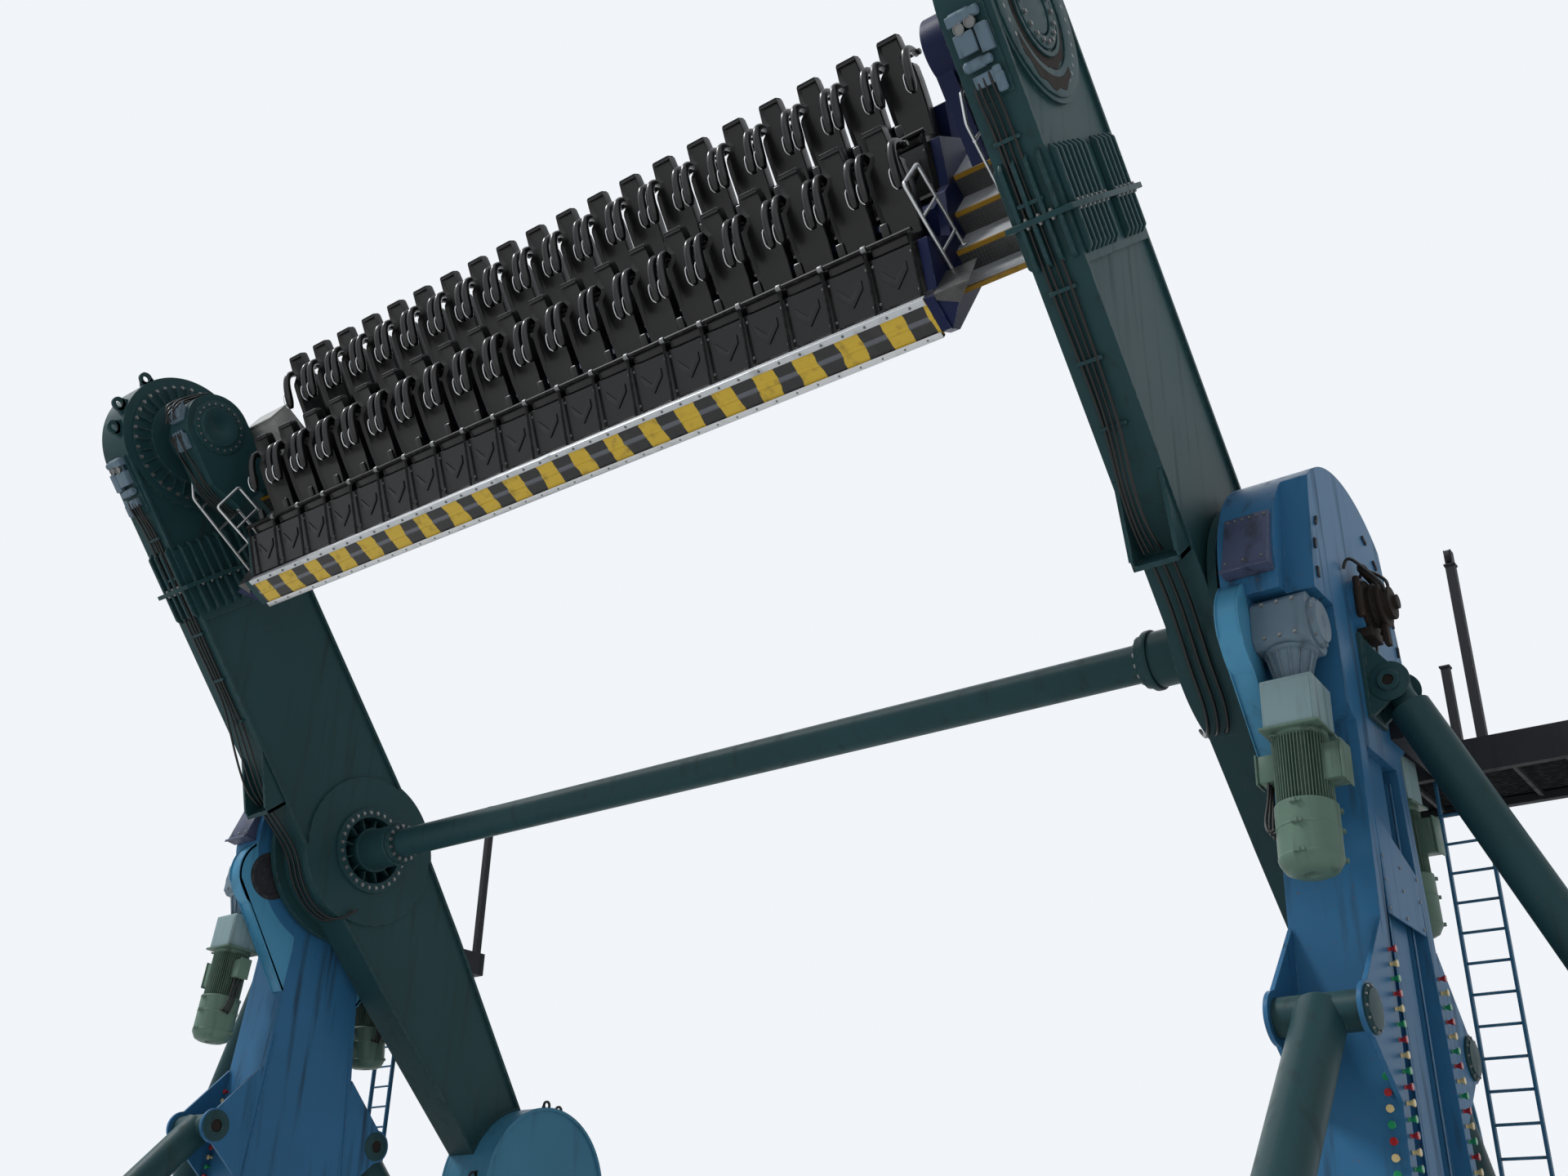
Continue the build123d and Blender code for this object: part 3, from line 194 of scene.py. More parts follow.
def plate(name, outline, low, high, across="X"):
    """A plate from its outline, lying across X, Y or Z between two planes."""
    deselect()
    bpy.ops.mesh.primitive_circle_add(vertices=len(outline), radius=1, fill_type="NGON")
    piece = bpy.context.object
    piece.name = name
    order = {"X": lambda u, v: (low, u, v), "Y": lambda u, v: (u, low, v), "Z": lambda u, v: (u, v, low)}
    for vertex, (u, v) in zip(piece.data.vertices, outline):
        vertex.co = order[across](u, v)
    step = {"X": (high - low, 0, 0), "Y": (0, high - low, 0), "Z": (0, 0, high - low)}[across]
    bpy.ops.object.mode_set(mode="EDIT")
    bpy.ops.mesh.select_all(action="SELECT")
    bpy.ops.mesh.extrude_region_move(TRANSFORM_OT_translate={"value": step})
    bpy.ops.mesh.select_all(action="SELECT")
    bpy.ops.mesh.normals_make_consistent(inside=False)
    bpy.ops.object.mode_set(mode="OBJECT")
    return piece


def bar(name, low, high):
    """A square-edged bar between two corners."""
    return plate(name, rectangle(*low[1:], *high[1:]), low[0], high[0])


def turned(name, profile, axis="Z", steps=24):
    """A piece turned on a lathe: a profile of (radius, height) pairs spun about an axis."""
    deselect()
    bpy.ops.mesh.primitive_circle_add(vertices=len(profile), radius=1, fill_type="NOTHING")
    piece = bpy.context.object
    piece.name = name
    for vertex, (radius, height) in zip(piece.data.vertices, profile):
        vertex.co = (radius, 0, height)
    bpy.ops.object.mode_set(mode="EDIT")
    bpy.ops.mesh.select_all(action="SELECT")
    bpy.ops.mesh.spin(steps=steps, angle=math.tau, center=(0, 0, 0), axis=(0, 0, 1))
    bpy.ops.mesh.select_all(action="SELECT")
    bpy.ops.mesh.remove_doubles(threshold=0.0001)
    bpy.ops.mesh.normals_make_consistent(inside=False)
    bpy.ops.object.mode_set(mode="OBJECT")
    turn = {"Z": Matrix.Identity(4), "X": Matrix.Rotation(math.radians(90), 4, "Y"),
            "Y": Matrix.Rotation(math.radians(-90), 4, "X")}[axis]
    piece.data.transform(turn)
    bpy.ops.object.shade_smooth_by_angle(angle=math.radians(35))
    return piece


def hose(name, points, radius, sides=3):
    """A round tube along a smooth line through the neighbourhood of the points."""
    deselect()
    curve = bpy.data.curves.new(name, "CURVE")
    curve.dimensions = "3D"
    curve.bevel_depth = radius
    curve.bevel_resolution = sides
    curve.resolution_u = 6
    curve.use_fill_caps = True
    line = curve.splines.new("NURBS")
    line.points.add(len(points) - 1)
    for point, place in zip(line.points, points):
        point.co = (*place, 1)
    line.order_u = 3
    line.use_endpoint_u = True
    piece = bpy.data.objects.new(name, curve)
    bpy.context.scene.collection.objects.link(piece)
    activate(piece)
    bpy.ops.object.convert(target="MESH")
    piece = bpy.context.object
    bpy.ops.object.shade_smooth_by_angle(angle=math.radians(50))
    return piece


def placed(piece, place):
    """Move a piece's mesh, leaving its object at the origin."""
    piece.data.transform(place)
    if place.determinant() < 0:
        piece.data.flip_normals()
    return piece


def join(name, pieces):
    """Join pieces into one, with one mesh."""
    deselect()
    for piece in pieces:
        piece.select_set(True)
    bpy.context.view_layer.objects.active = pieces[0]
    if len(pieces) > 1:
        bpy.ops.object.join()
    joined = bpy.context.object
    joined.name = name
    return joined


def copied(piece, place):
    """A copy of a piece, with its own mesh, at a place."""
    copy = piece.copy()
    copy.data = piece.data.copy()
    bpy.context.scene.collection.objects.link(copy)
    return placed(copy, place)


def repeat(name, piece, places):
    """One copy of a piece at every place, joined; the pattern goes."""
    copies = [copied(piece, place) for place in places]
    bpy.data.objects.remove(piece)
    return join(name, copies)


def rectangle(low_u, low_v, high_u, high_v):
    """The outline of a rectangle between two corners."""
    return [(low_u, low_v), (high_u, low_v), (high_u, high_v), (low_u, high_v)]


def shifted(outline, u, v):
    """An outline moved sideways by u and up by v."""
    return [(first + u, second + v) for first, second in outline]


def at(x=0, y=0, z=0):
    """A shift."""
    return Matrix.Translation((x, y, z))


def turn(degrees, axis):
    """A turn about one axis."""
    return Matrix.Rotation(math.radians(degrees), 4, axis)


def settle(piece, body, finish, replaces=(), slot=None):
    """Give a piece its body, the solids it stands for and its finish: a slot's name or a material."""
    if isinstance(finish, str):
        slot = finish
        finish = finishes[slot]
    piece.data.materials.clear()
    piece.data.materials.append(finish)
    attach(piece, body)
    if replaces:
        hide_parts(*replaces)


def settle_pair(piece, body, finish, replaces=()):
    """Settle a right-hand piece and its mirror image on the left."""
    name = piece.name
    other = copied(piece, mirror_sides)
    for half, word in ((piece, "_right"), (other, "_left")):
        half.name = name + word
        settle(half, body, finish, [node + word for node in replaces])


def on_arms(name, pieces, space, finish, replaces=()):
    """Join pieces drawn in a space of the right arm and settle them on both arms."""
    settle_pair(placed(join(name, pieces), space), "swing_arms", finish, replaces)


def on_gondola(piece, finish, replaces=(), space=gondola_space):
    """Settle a piece drawn in a space of the gondola."""
    settle(placed(piece, space), "gondola", finish, replaces)


def on_towers(name, pieces, finish, space=Matrix.Identity(4), replaces=()):
    """Join pieces drawn in a space of the right tower and settle them on both towers."""
    settle_pair(placed(join(name, pieces), space), "root", finish, replaces)


print("helpers ready")

# %% [markdown]
# ## Stage
# A wide pale floor at ground level, a bright sky for the camera and even light. The sun
# stands high on the left in front of the ride, as the lit faces of the towers show, and is
# wide and weak so that no shadow is hard.

# %% Floor and light
bpy.ops.object.select_all(action="DESELECT")
bpy.ops.mesh.primitive_plane_add(size=160, location=(0, 0, -0.002))
floor = bpy.context.object
floor.name = "floor"


def lamp(name, strength, spread, azimuth, height):
    """A distant lamp, given by the compass angle and the height that it shines from."""
    data = bpy.data.lights.new(name, "SUN")
    data.energy = strength
    data.angle = math.radians(spread)
    made = bpy.data.objects.new(name, data)
    made.rotation_euler = (math.radians(90 - height), 0, math.radians(azimuth))
    bpy.context.scene.collection.objects.link(made)


lamp("key", 2.4, 12, -55, 50)
lamp("fill", 0.35, 60, 30, 12)
lamp("back", 0.5, 40, -150, 35)

world = bpy.data.worlds.new("sky")
bpy.context.scene.world = world
world.use_nodes = True
sky = world.node_tree
background = sky.nodes["Background"]
path = sky.nodes.new("ShaderNodeLightPath")
seen = path.outputs["Is Camera Ray"]
for ray in ("Is Glossy Ray", "Is Transmission Ray"):
    either = sky.nodes.new("ShaderNodeMath")
    either.operation = "MAXIMUM"
    sky.links.new(seen, either.inputs[0])
    sky.links.new(path.outputs[ray], either.inputs[1])
    seen = either.outputs[0]
strength = sky.nodes.new("ShaderNodeMapRange")
strength.inputs["To Min"].default_value = 0.36
strength.inputs["To Max"].default_value = 0.95
sky.links.new(seen, strength.inputs["Value"])
sky.links.new(strength.outputs[0], background.inputs["Strength"])
background.inputs["Color"].default_value = (0.93, 0.96, 1.0, 1)
bpy.context.scene.view_settings.view_transform = "Standard"
print("stage ready")

# %% [markdown]
# ## Writing shaders as sums
# Weathered paint is a sum of simple patterns: slow fading, rain streaks, fine grain and
# worn edges. A small class wraps a socket so that these can be written as plain
# expressions, and each operator adds the Math node that it needs.

# %% Shader helpers
class Value:
    """A socket that can be added, subtracted and multiplied."""

    def __init__(self, finish, socket):
        self.finish = finish
        self.socket = socket

    def maths(self, operation, first, second):
        """One Math node."""
        return self.finish.node("ShaderNodeMath", {"operation": operation}, {0: first, 1: second})

    def __add__(self, other):
        return self.maths("ADD", self, other)

    def __sub__(self, other):
        return self.maths("SUBTRACT", self, other)

    def __rsub__(self, other):
        return self.maths("SUBTRACT", other, self)

    def __mul__(self, other):
        return self.maths("MULTIPLY", self, other)

    def shaped(self, operation):
        """One Math node with a single input, such as a sine."""
        return self.finish.node("ShaderNodeMath", {"operation": operation}, {0: self})

    def clipped(self, low, high):
        """0 below low, 1 above high and a smooth rise between them."""
        return self.finish.node("ShaderNodeMapRange", {"interpolation_type": "SMOOTHSTEP"},
                                {"Value": self, "From Min": low, "From Max": high})


class Finish:
    """A material under construction."""

    def __init__(self, name):
        self.material = bpy.data.materials.new(name)
        self.material.use_nodes = True
        self.tree = self.material.node_tree
        self.shader = self.tree.nodes["Principled BSDF"]
        self.place = self.node("ShaderNodeTexCoord", output="Object")

    def node(self, kind, settings=None, sockets=None, output=0):
        """Add one node; sockets take a number, a colour or another Value."""
        made = self.tree.nodes.new(kind)
        for key, value in (settings or {}).items():
            setattr(made, key, value)
        for key, value in (sockets or {}).items():
            if isinstance(value, Value):
                self.tree.links.new(value.socket, made.inputs[key])
            else:
                made.inputs[key].default_value = value
        return Value(self, made.outputs[output])

    def noise(self, scale, detail=3, stretch=(1, 1, 1), lean=0.0):
        """Cloudy pattern, stretched along the axes after a turn about X."""
        moved = self.node("ShaderNodeMapping", {}, {"Vector": self.place, "Scale": stretch,
                                                    "Rotation": (lean, 0, 0)})
        return self.node("ShaderNodeTexNoise", {}, {"Vector": moved, "Scale": scale, "Detail": detail})

    def along(self, axis):
        """One coordinate of the place, in metres."""
        return self.node("ShaderNodeSeparateXYZ", {}, {0: self.place}, output=axis)

    def mix(self, share, first, second):
        """A blend of two colours."""
        colours = {6: first if isinstance(first, Value) else (*first, 1),
                   7: second if isinstance(second, Value) else (*second, 1)}
        return self.node("ShaderNodeMix", {"data_type": "RGBA"}, {0: share, **colours}, output=2)

    def worn_edges(self, radius):
        """0 on a flat and 1 on a sharp edge, with the rounded normal that shows it."""
        rounded = self.node("ShaderNodeBevel", {"samples": 4}, {"Radius": radius})
        flat = self.node("ShaderNodeNewGeometry", output="Normal")
        same = self.node("ShaderNodeVectorMath", {"operation": "DOT_PRODUCT"}, {0: rounded, 1: flat},
                         output="Value")
        return (1 - same).clipped(0.01, 0.16), rounded

    def done(self, colour, roughness, metallic=0.0, height=None, depth=0.002, normal=None, **fixed):
        """Connect the sockets that vary and set the ones that don't."""
        for name, value in (("Base Color", colour), ("Roughness", roughness), ("Metallic", metallic)):
            if isinstance(value, Value):
                self.tree.links.new(value.socket, self.shader.inputs[name])
            else:
                self.shader.inputs[name].default_value = (*value, 1) if name == "Base Color" else value
        if height is not None:
            sockets = {"Height": height, "Distance": depth, "Strength": 0.6}
            if normal is not None:
                sockets["Normal"] = normal
            normal = self.node("ShaderNodeBump", {}, sockets)
        if normal is not None:
            self.tree.links.new(normal.socket, self.shader.inputs["Normal"])
        for name, value in fixed.items():
            self.shader.inputs[name.replace("_", " ").title()].default_value = value
        return self.material


def shade(red, green, blue):
    """A colour as it is read off a screen, 0 to 255, made linear."""
    return tuple((c / 255 / 12.92) if c / 255 <= 0.04045 else ((c / 255 + 0.055) / 1.055) ** 2.4
                 for c in (red, green, blue))


print("shader helpers ready")

# %% [markdown]
# ## Paint
# The ride is painted steel that stands outdoors. The paint fades in slow patches, rain
# draws darker streaks down it, fine orange peel breaks up the gloss, and handling wears
# the edges through to a paler undercoat with a little rust. One recipe serves every
# painted piece; the colour, the amount of dirt and the direction of the streaks differ.

# %% Paint recipe
rust_brown = shade(105, 62, 38)
grime = shade(34, 38, 38)


def paint(name, colour, dirt=0.5, gloss=0.34, wear=0.5, lean=0.0):
    """Outdoor paint with fading, streaks, peel and worn edges."""
    finish = Finish(name)
    fading = finish.noise(0.55, 4)
    streaks = finish.noise(1.0, 5, (7, 7, 0.45), lean).clipped(0.52, 0.78)
    specks = finish.noise(24, 3).clipped(0.66, 0.76)
    peel = finish.noise(160, 2)
    edges, rounded = finish.worn_edges(0.012)
    ragged = finish.noise(14, 3).clipped(0.45, 0.62)
    pale = tuple(min(1, 0.5 * c + 0.18) for c in colour)
    dark = tuple(0.72 * c for c in colour)
    light = tuple(min(1, 1.22 * c) for c in colour)
    base = finish.mix(fading, dark, light)
    base = finish.mix(streaks * dirt, base, grime)
    base = finish.mix(specks * (0.5 * dirt), base, rust_brown)
    base = finish.mix(edges * ragged * wear, base, pale)
    rough = fading * 0.12 + streaks * (0.3 * dirt) + edges * 0.15 + gloss - 0.06
    finish.shader.inputs["Specular IOR Level"].default_value = 0.14
    return finish.done(base, rough, 0.0, peel * 0.3 + fading * 1.5, 0.004, rounded)


along_arm = -arm_swing
along_deck = -arm_swing - gondola_turn
finishes = {
    "tower_blue": paint("tower_blue", shade(46, 98, 136), 0.75, 0.4),
    "cover_blue": paint("cover_blue", shade(72, 136, 170), 0.45, 0.3),
    "counterweight_blue": paint("counterweight_blue", shade(58, 112, 138), 0.45, 0.42),
    "arm_green": paint("arm_green", shade(32, 62, 66), 0.45, 0.46, lean=along_arm),
    "motor_green": paint("motor_green", shade(88, 112, 100), 0.55, 0.42),
    "gearbox_grey": paint("gearbox_grey", shade(96, 116, 130), 0.5, 0.4),
    "ladder_blue": paint("ladder_blue", shade(44, 92, 124), 0.5, 0.45),
    "platform_dark": paint("platform_dark", shade(44, 46, 50), 0.6, 0.6),
    "frame_navy": paint("frame_navy", shade(20, 30, 66), 0.35, 0.4, lean=along_deck),
    "frame_dark": paint("frame_dark", shade(13, 13, 14), 0.25, 0.5, lean=along_deck),
    "cabinet_grey": paint("cabinet_grey", shade(168, 170, 168), 0.4, 0.4, lean=along_deck),
}
print(len(finishes), "paints")

# %% [markdown]
# ## Moulded black, metal and the striped board
# The seats are black gloss plastic with a thin film of dust, and the restraints a softer
# skinned foam. The treads are diamond plate, whose raised lozenges are a pattern of
# crossed waves in the normal. The board along the front edge carries wavy yellow bands:
# a sine along the row, shifted by a slow noise so that no two edges run alike.

# %% Moulded and metal finishes
def moulded(name, colour, rough, coat, grain):
    """Moulded plastic or skinned foam with a clear coat, dust and fine grain."""
    finish = Finish(name)
    dust = finish.noise(3.5, 5).clipped(0.48, 0.85)
    base = finish.mix(dust * 0.06, colour, shade(96, 94, 90))
    height = finish.noise(grain, 2)
    finish.shader.inputs["Specular IOR Level"].default_value = 0.3
    return finish.done(base, dust * 0.25 + rough, 0.0, height, 0.0012, coat_weight=coat, coat_roughness=0.12)


def bare_metal(name, colour, rough):
    """Plain or plated metal, dulled in patches."""
    finish = Finish(name)
    patches = finish.noise(6, 4)
    scratches = finish.noise(18, 3, (1, 6, 6))
    tint = finish.mix(patches.clipped(0.5, 0.8) * 0.5, colour, tuple(0.55 * c for c in colour))
    return finish.done(tint, patches * 0.25 + rough, 0.9, scratches, 0.001)


def deck_place(finish):
    """The place measured in the gondola's own space, so that patterns run along its decks."""
    sideways = finish.along(0)
    back = finish.along(1)
    height = finish.along(2)
    lean = arm_swing + gondola_turn
    inverse = gondola_space.inverted().translation
    depth = back * math.cos(lean) + height * math.sin(lean) + inverse.y
    level = height * math.cos(lean) - back * math.sin(lean) + inverse.z
    return sideways, depth, level


def checker(name, colour, worn, upright=False):
    """Checker plate: short raised lozenges, turned crosswise row by row."""
    finish = Finish(name)
    sideways, depth, level = deck_place(finish)
    slope = (level if upright else depth) * 78
    across = sideways * 78
    first = (across + slope).shaped("SINE")
    second = (across - slope).shaped("SINE")
    lozenge = (first * second).clipped(0.35, 0.8)
    dirt = finish.noise(4, 4).clipped(0.5, 0.8)
    base = finish.mix(dirt * 0.6, colour, worn)
    base = finish.mix(lozenge * 0.35, base, tuple(min(1, 1.5 * c) for c in colour))
    return finish.done(base, dirt * 0.3 + 0.34, 0.35, lozenge, 0.006)


def striped_board():
    """Black board with wavy yellow bands and a painted highlight along the raised rib in its middle."""
    finish = Finish("skirt_black")
    level = deck_place(finish)[2]
    # A pale blue-grey band along the raised rib at the middle level: a painted highlight where the rib catches the
    # light.
    off_middle = (level - swage_level).shaped("ABSOLUTE")
    rib_highlight = 1 - off_middle.clipped(0.024, 0.034)
    wander = finish.noise(2.2, 3, lean=along_deck)
    slow = finish.noise(5.5, 2)
    phase = (finish.along(0) + (wander - 0.5) * 0.16 + (slow - 0.5) * 0.05) * (math.tau / 0.54)
    wave = phase.shaped("SINE")
    band = wave.clipped(-0.06, 0.06)
    soil = finish.noise(9, 5).clipped(0.5, 0.8)
    yellow = finish.mix(soil * 0.6, shade(192, 160, 34), shade(112, 92, 40))
    black = finish.mix(soil * 0.3, shade(20, 20, 22), shade(80, 78, 72))
    black = finish.mix(rib_highlight * 0.75, black, shade(92, 96, 104))
    scratches = finish.noise(26, 4)
    return finish.done(finish.mix(band, black, yellow), soil * 0.3 + 0.38, 0.0, scratches, 0.003)


finishes["seat_plastic"] = moulded("seat_plastic", shade(11, 11, 12), 0.3, 0.16, 240)
finishes["restraint_pad"] = moulded("restraint_pad", shade(8, 8, 9), 0.3, 0.22, 130)
finishes["tread_aluminium"] = checker("tread_aluminium", shade(186, 190, 194), shade(112, 112, 108))
riser_finish = checker("riser_steel", shade(70, 70, 70), shade(40, 38, 36), upright=True)
nosing_finish = paint("nosing_yellow", shade(150, 116, 40), 0.7, 0.4, lean=along_deck)
finishes["handrail_steel"] = bare_metal("handrail_steel", shade(196, 198, 200), 0.22)
finishes["skirt_black"] = striped_board()
bolt_finish = bare_metal("bolt_steel", shade(120, 122, 122), 0.38)
# A bright metal for the strips on the restraint pads: a painted highlight of the sun's glint.
painted_glint_finish = bare_metal("painted_glint_rim", shade(214, 216, 218), 0.2)
rubber = moulded("black_hose", shade(16, 16, 16), 0.42, 0.1, 60)
rusty = paint("rusty_steel", shade(34, 28, 24), 0.6, 0.7, 0.2)
print(len(finishes), "finishes")

# %% Solids that keep their shape
for entry in frame["record"]["subparts"]:
    solid = nodes[entry["node"]]
    solid.data.materials.clear()
    solid.data.materials.append(finishes[entry["material_slot"]])

floor_finish = Finish("floor")
floor.data.materials.append(floor_finish.done(
    floor_finish.mix(floor_finish.noise(0.6, 3), (0.78, 0.78, 0.77), (0.84, 0.84, 0.83)), 0.8))
print("every solid has its finish")

# %% [markdown]
# ## Seat shells
# Each seat is one moulding: a headrest block on a narrow neck, broad shoulders and hips,
# and a shallow dish where the rider leans. It could be sculpted, but its front is flat
# enough to start as an outline. The front face is inset and pushed back for the dish, and
# one bevel gives every edge the soft highlight of moulded plastic. The shell is made once
# in the seat's own space and copied to all twenty places of a row.

# %% One seat shell
shell_depth = 0.13
head_top = 1.15
shaft_height = head_top - 0.24
shell_half = shifted([(0.112, 0), (0.127, -0.02), (0.144, -0.185), (0.136, -0.205), (0.106, -0.25),
                      (0.114, -0.285), (0.152, -0.32), (0.198, -0.36), (0.215, -0.4), (0.224, -0.56)],
                     0, head_top)
shell_half += [(0.222, 0.32), (0.204, 0.1), (0.188, -0.14)]
shell_outline = shell_half + [(-x, z) for x, z in reversed(shell_half)]


def seat_shell():
    """The moulded back with its dished front."""
    shell = plate("shell", shell_outline, 0, shell_depth, "Y")
    select_faces(shell, lambda centre, normal: normal.y < -0.9)
    bpy.ops.mesh.inset(thickness=0.034, depth=0)
    bpy.ops.transform.translate(value=(0, 0.038, 0))
    bpy.ops.object.mode_set(mode="OBJECT")
    return soften(shell, 0.014, 3, 28)


def head_cap():
    """The grooved cap that slopes over the top of the headrest."""
    outline = [(-0.007, -0.045), (0.012, 0.004), (0.112, 0.004), (0.137, -0.03), (0.137, -0.05)]
    cap = plate("cap", shifted(outline, 0, head_top), -0.122, 0.122)
    select_faces(cap, lambda centre, normal: normal.z > 0.4)
    bpy.ops.mesh.inset(thickness=0.014, depth=0.006)
    bpy.ops.object.mode_set(mode="OBJECT")
    return soften(cap, 0.005, 2)


def seat_cushion():
    """The pad under the rider, dished behind its raised front, with the horn on it."""
    pad = plate("pad", [(-0.43, -0.14), (-0.004, -0.14), (-0.004, 0), (-0.2, -0.022), (-0.31, -0.025),
                        (-0.43, 0.02)], -0.22, 0.22)
    soften(pad, 0.02, 3)
    horn = plate("horn", [(-0.43, 0.01), (-0.37, -0.005), (-0.375, 0.12), (-0.392, 0.15), (-0.418, 0.15),
                          (-0.43, 0.125)], -0.045, 0.045)
    soften(horn, 0.012, 3)
    return join("cushion", [pad, horn])


def saddle():
    """The open bearing behind the neck that the restraint's shaft turns in."""
    outline = [(0.12, -0.06), (0.225, -0.06), (0.225, 0.02), (0.2005, 0.02), (0.2005, -0.0255),
               (0.1495, -0.0255), (0.1495, 0.02), (0.12, 0.02)]
    return soften(plate("saddle", shifted(outline, 0, shaft_height), -0.06, 0.06), 0.004, 1)


cap_finish = moulded("head_cap", shade(34, 34, 35), 0.5, 0.0, 420)
for row, word in rows:
    places = seat_spaces(row)
    shells = repeat("seat_shells_" + word, join("one", [seat_shell(), saddle()]), places)
    settle(shells, "gondola", "seat_plastic", ["seat_backs_" + word])
    cushions = repeat("seat_cushions_" + word, seat_cushion(), places)
    settle(cushions, "gondola", "seat_plastic", ["seat_bases_" + word])
    caps = repeat("head_caps_" + word, head_cap(), places)
    settle(caps, "gondola", cap_finish, slot="seat_plastic")
    print(shells.name, len(shells.data.polygons), "faces;", cushions.name, len(cushions.data.polygons))

# %% [markdown]
# ## Over-shoulder restraints
# A restraint is a steel hoop in skinned foam: two pads that leave a shaft behind the neck,
# bend over the shoulders and swell where they end on the chest. A bent, swelling tube is
# what a curve with a profile makes best: the line is smooth and each point has a radius.

# %% Restraints
def swept(name, points, radii, half_width):
    """A round bar along a smooth line, thick or thin by the radius at each point."""
    deselect()
    bpy.ops.curve.primitive_nurbs_circle_add(radius=half_width)
    section = bpy.context.object
    section.data.resolution_u = 3
    curve = bpy.data.curves.new(name, "CURVE")
    curve.dimensions = "3D"
    curve.bevel_mode = "OBJECT"
    curve.bevel_object = section
    curve.use_fill_caps = True
    curve.resolution_u = 4
    line = curve.splines.new("NURBS")
    line.points.add(len(points) - 1)
    for point, place, radius in zip(line.points, points, radii):
        point.co = (*place, 1)
        point.radius = radius
    line.order_u = 3
    line.use_endpoint_u = True
    bar_object = bpy.data.objects.new(name, curve)
    bpy.context.scene.collection.objects.link(bar_object)
    activate(bar_object)
    bpy.ops.object.convert(target="MESH")
    made = bpy.context.object
    bpy.data.objects.remove(section)
    bpy.ops.object.shade_smooth_by_angle(angle=math.radians(50))
    return tidy_normals(made)


shaft_back = 0.175
pad_side = 0.2
pad_line = shifted([(shaft_back + 0.03, 0), (shaft_back - 0.06, 0.03), (0.02, 0.035), (-0.075, -0.005),
                    (-0.135, -0.12), (-0.165, -0.26), (-0.188, -0.40), (-0.19, -0.47)], 0, shaft_height)
pad_swell = (0.8, 0.86, 0.92, 0.95, 1.02, 1.12, 1.16, 0.6)


def restraint():
    """Two pads on their shaft, with the hinge knob at each end."""
    parts = []
    for side in (-1, 1):
        points = [(side * pad_side, y, z) for y, z in pad_line]
        parts.append(swept("pad", points, pad_swell, 0.05))
        knob = turned("knob", [(0, -0.02), (0.03, -0.02), (0.036, -0.012), (0.036, 0.012), (0.028, 0.022),
                               (0, 0.022)], "X", 12)
        parts.append(placed(knob, at(side * (pad_side + 0.045), shaft_back, shaft_height)))
    shaft = turned("shaft", rectangle(0, -pad_side, 0.0245, pad_side), "X", 10)
    parts.append(placed(shaft, at(0, shaft_back, shaft_height)))
    return join("restraint", parts)


def pad_glint_highlights():
    """A pale strip on the left of each pad's end: a painted highlight for the sun's glint on the glossy pad."""
    trims = []
    for side in (-1, 1):
        # Both strips sit on the left of their pads, where the sun glints: a painted highlight.
        x = side * pad_side - 0.047
        line = [(x + aside, y, shaft_height - drop) for aside, y, drop in
                ((0.03, -0.19, 0.235), (0, -0.2, 0.25), (0, -0.232, 0.3), (0, -0.243, 0.38),
                 (0, -0.228, 0.44), (0.03, -0.21, 0.468))]
        trims.append(hose("trim", line, 0.0065, 1))
    return join("trims", trims)


for row, word in rows:
    places = seat_spaces(row)
    pads = repeat("restraints_" + word, restraint(), places)
    settle(pads, "harness_row_" + word, "restraint_pad", ["harnesses_" + word])
    # Pale strips where the sun glints on each pad: a painted highlight.
    trims = repeat("restraint_trims_" + word, pad_glint_highlights(), places)
    settle(trims, "harness_row_" + word, painted_glint_finish, slot="handrail_steel")
    print(pads.name, len(pads.data.polygons), "faces")

# %% [markdown]
# ## Foot wells
# Below the knee rail each rider's place has a pressed panel behind the calves, stiffened
# by a chevron, and the rail is held by clamps. A shallow raised shape on the pan's own
# plane is enough, because it is seen from below at a slant.

# %% Pressed panels and rail clamps
pan_high = Vector((0, -1.1232, -1.2993))
pan_low = Vector((0, -1.46, -1.71))
pan_slope = math.atan2(pan_high.y - pan_low.y, pan_high.z - pan_low.z)
pan_middle = (pan_high + pan_low) / 2


def chevron():
    """A pressed chevron, drawn upright with its front at zero."""
    outline = [(-0.15, 0.13), (-0.15, 0.03), (0, -0.13), (0.15, 0.03), (0.15, 0.13), (0, -0.03)]
    press = plate("chevron", outline, -0.014, 0, "Y")
    return soften(press, 0.008, 2)


def bolt_head(radius, height):
    """A hexagon head on its washer."""
    profile = [(0, 0), (radius * 1.35, 0), (radius * 1.35, height * 0.25), (radius, height * 0.25),
               (radius, height), (0, height)]
    return turned("bolt", profile, "Z", 6)


rail_point = Vector((0, -1.068, -1.178))
for row, word in rows:
    bays = [row_space(row) @ at(x, pan_middle.y, pan_middle.z) @ Matrix.Rotation(-pan_slope, 4, "X")
            for x in seat_offsets]
    panels = repeat("pressed_panels_" + word, chevron(), bays)
    settle(panels, "gondola", "seat_plastic")
    heads = [bay @ at(x, -0.002, z) @ turn(90, "X") for bay in bays for x in (-0.23, 0.23)
             for z in (-0.2, 0.2)]
    bolts = repeat("panel_bolts_" + word, bolt_head(0.013, 0.01), heads)
    settle(bolts, "gondola", bolt_finish)
    clamp_profile = [(0, -0.03), (0.036, -0.03), (0.04, -0.022), (0.04, 0.022), (0.036, 0.03), (0, 0.03)]
    clamps = [row_space(row) @ at((index - seats_in_row / 2) * seat_pitch, rail_point.y, rail_point.z)
              for index in range(1, seats_in_row)]
    settle(repeat("rail_clamps_" + word, turned("clamp", clamp_profile, "X", 12), clamps), "gondola",
           bolt_finish)
    print(panels.name, len(panels.data.polygons), "faces")

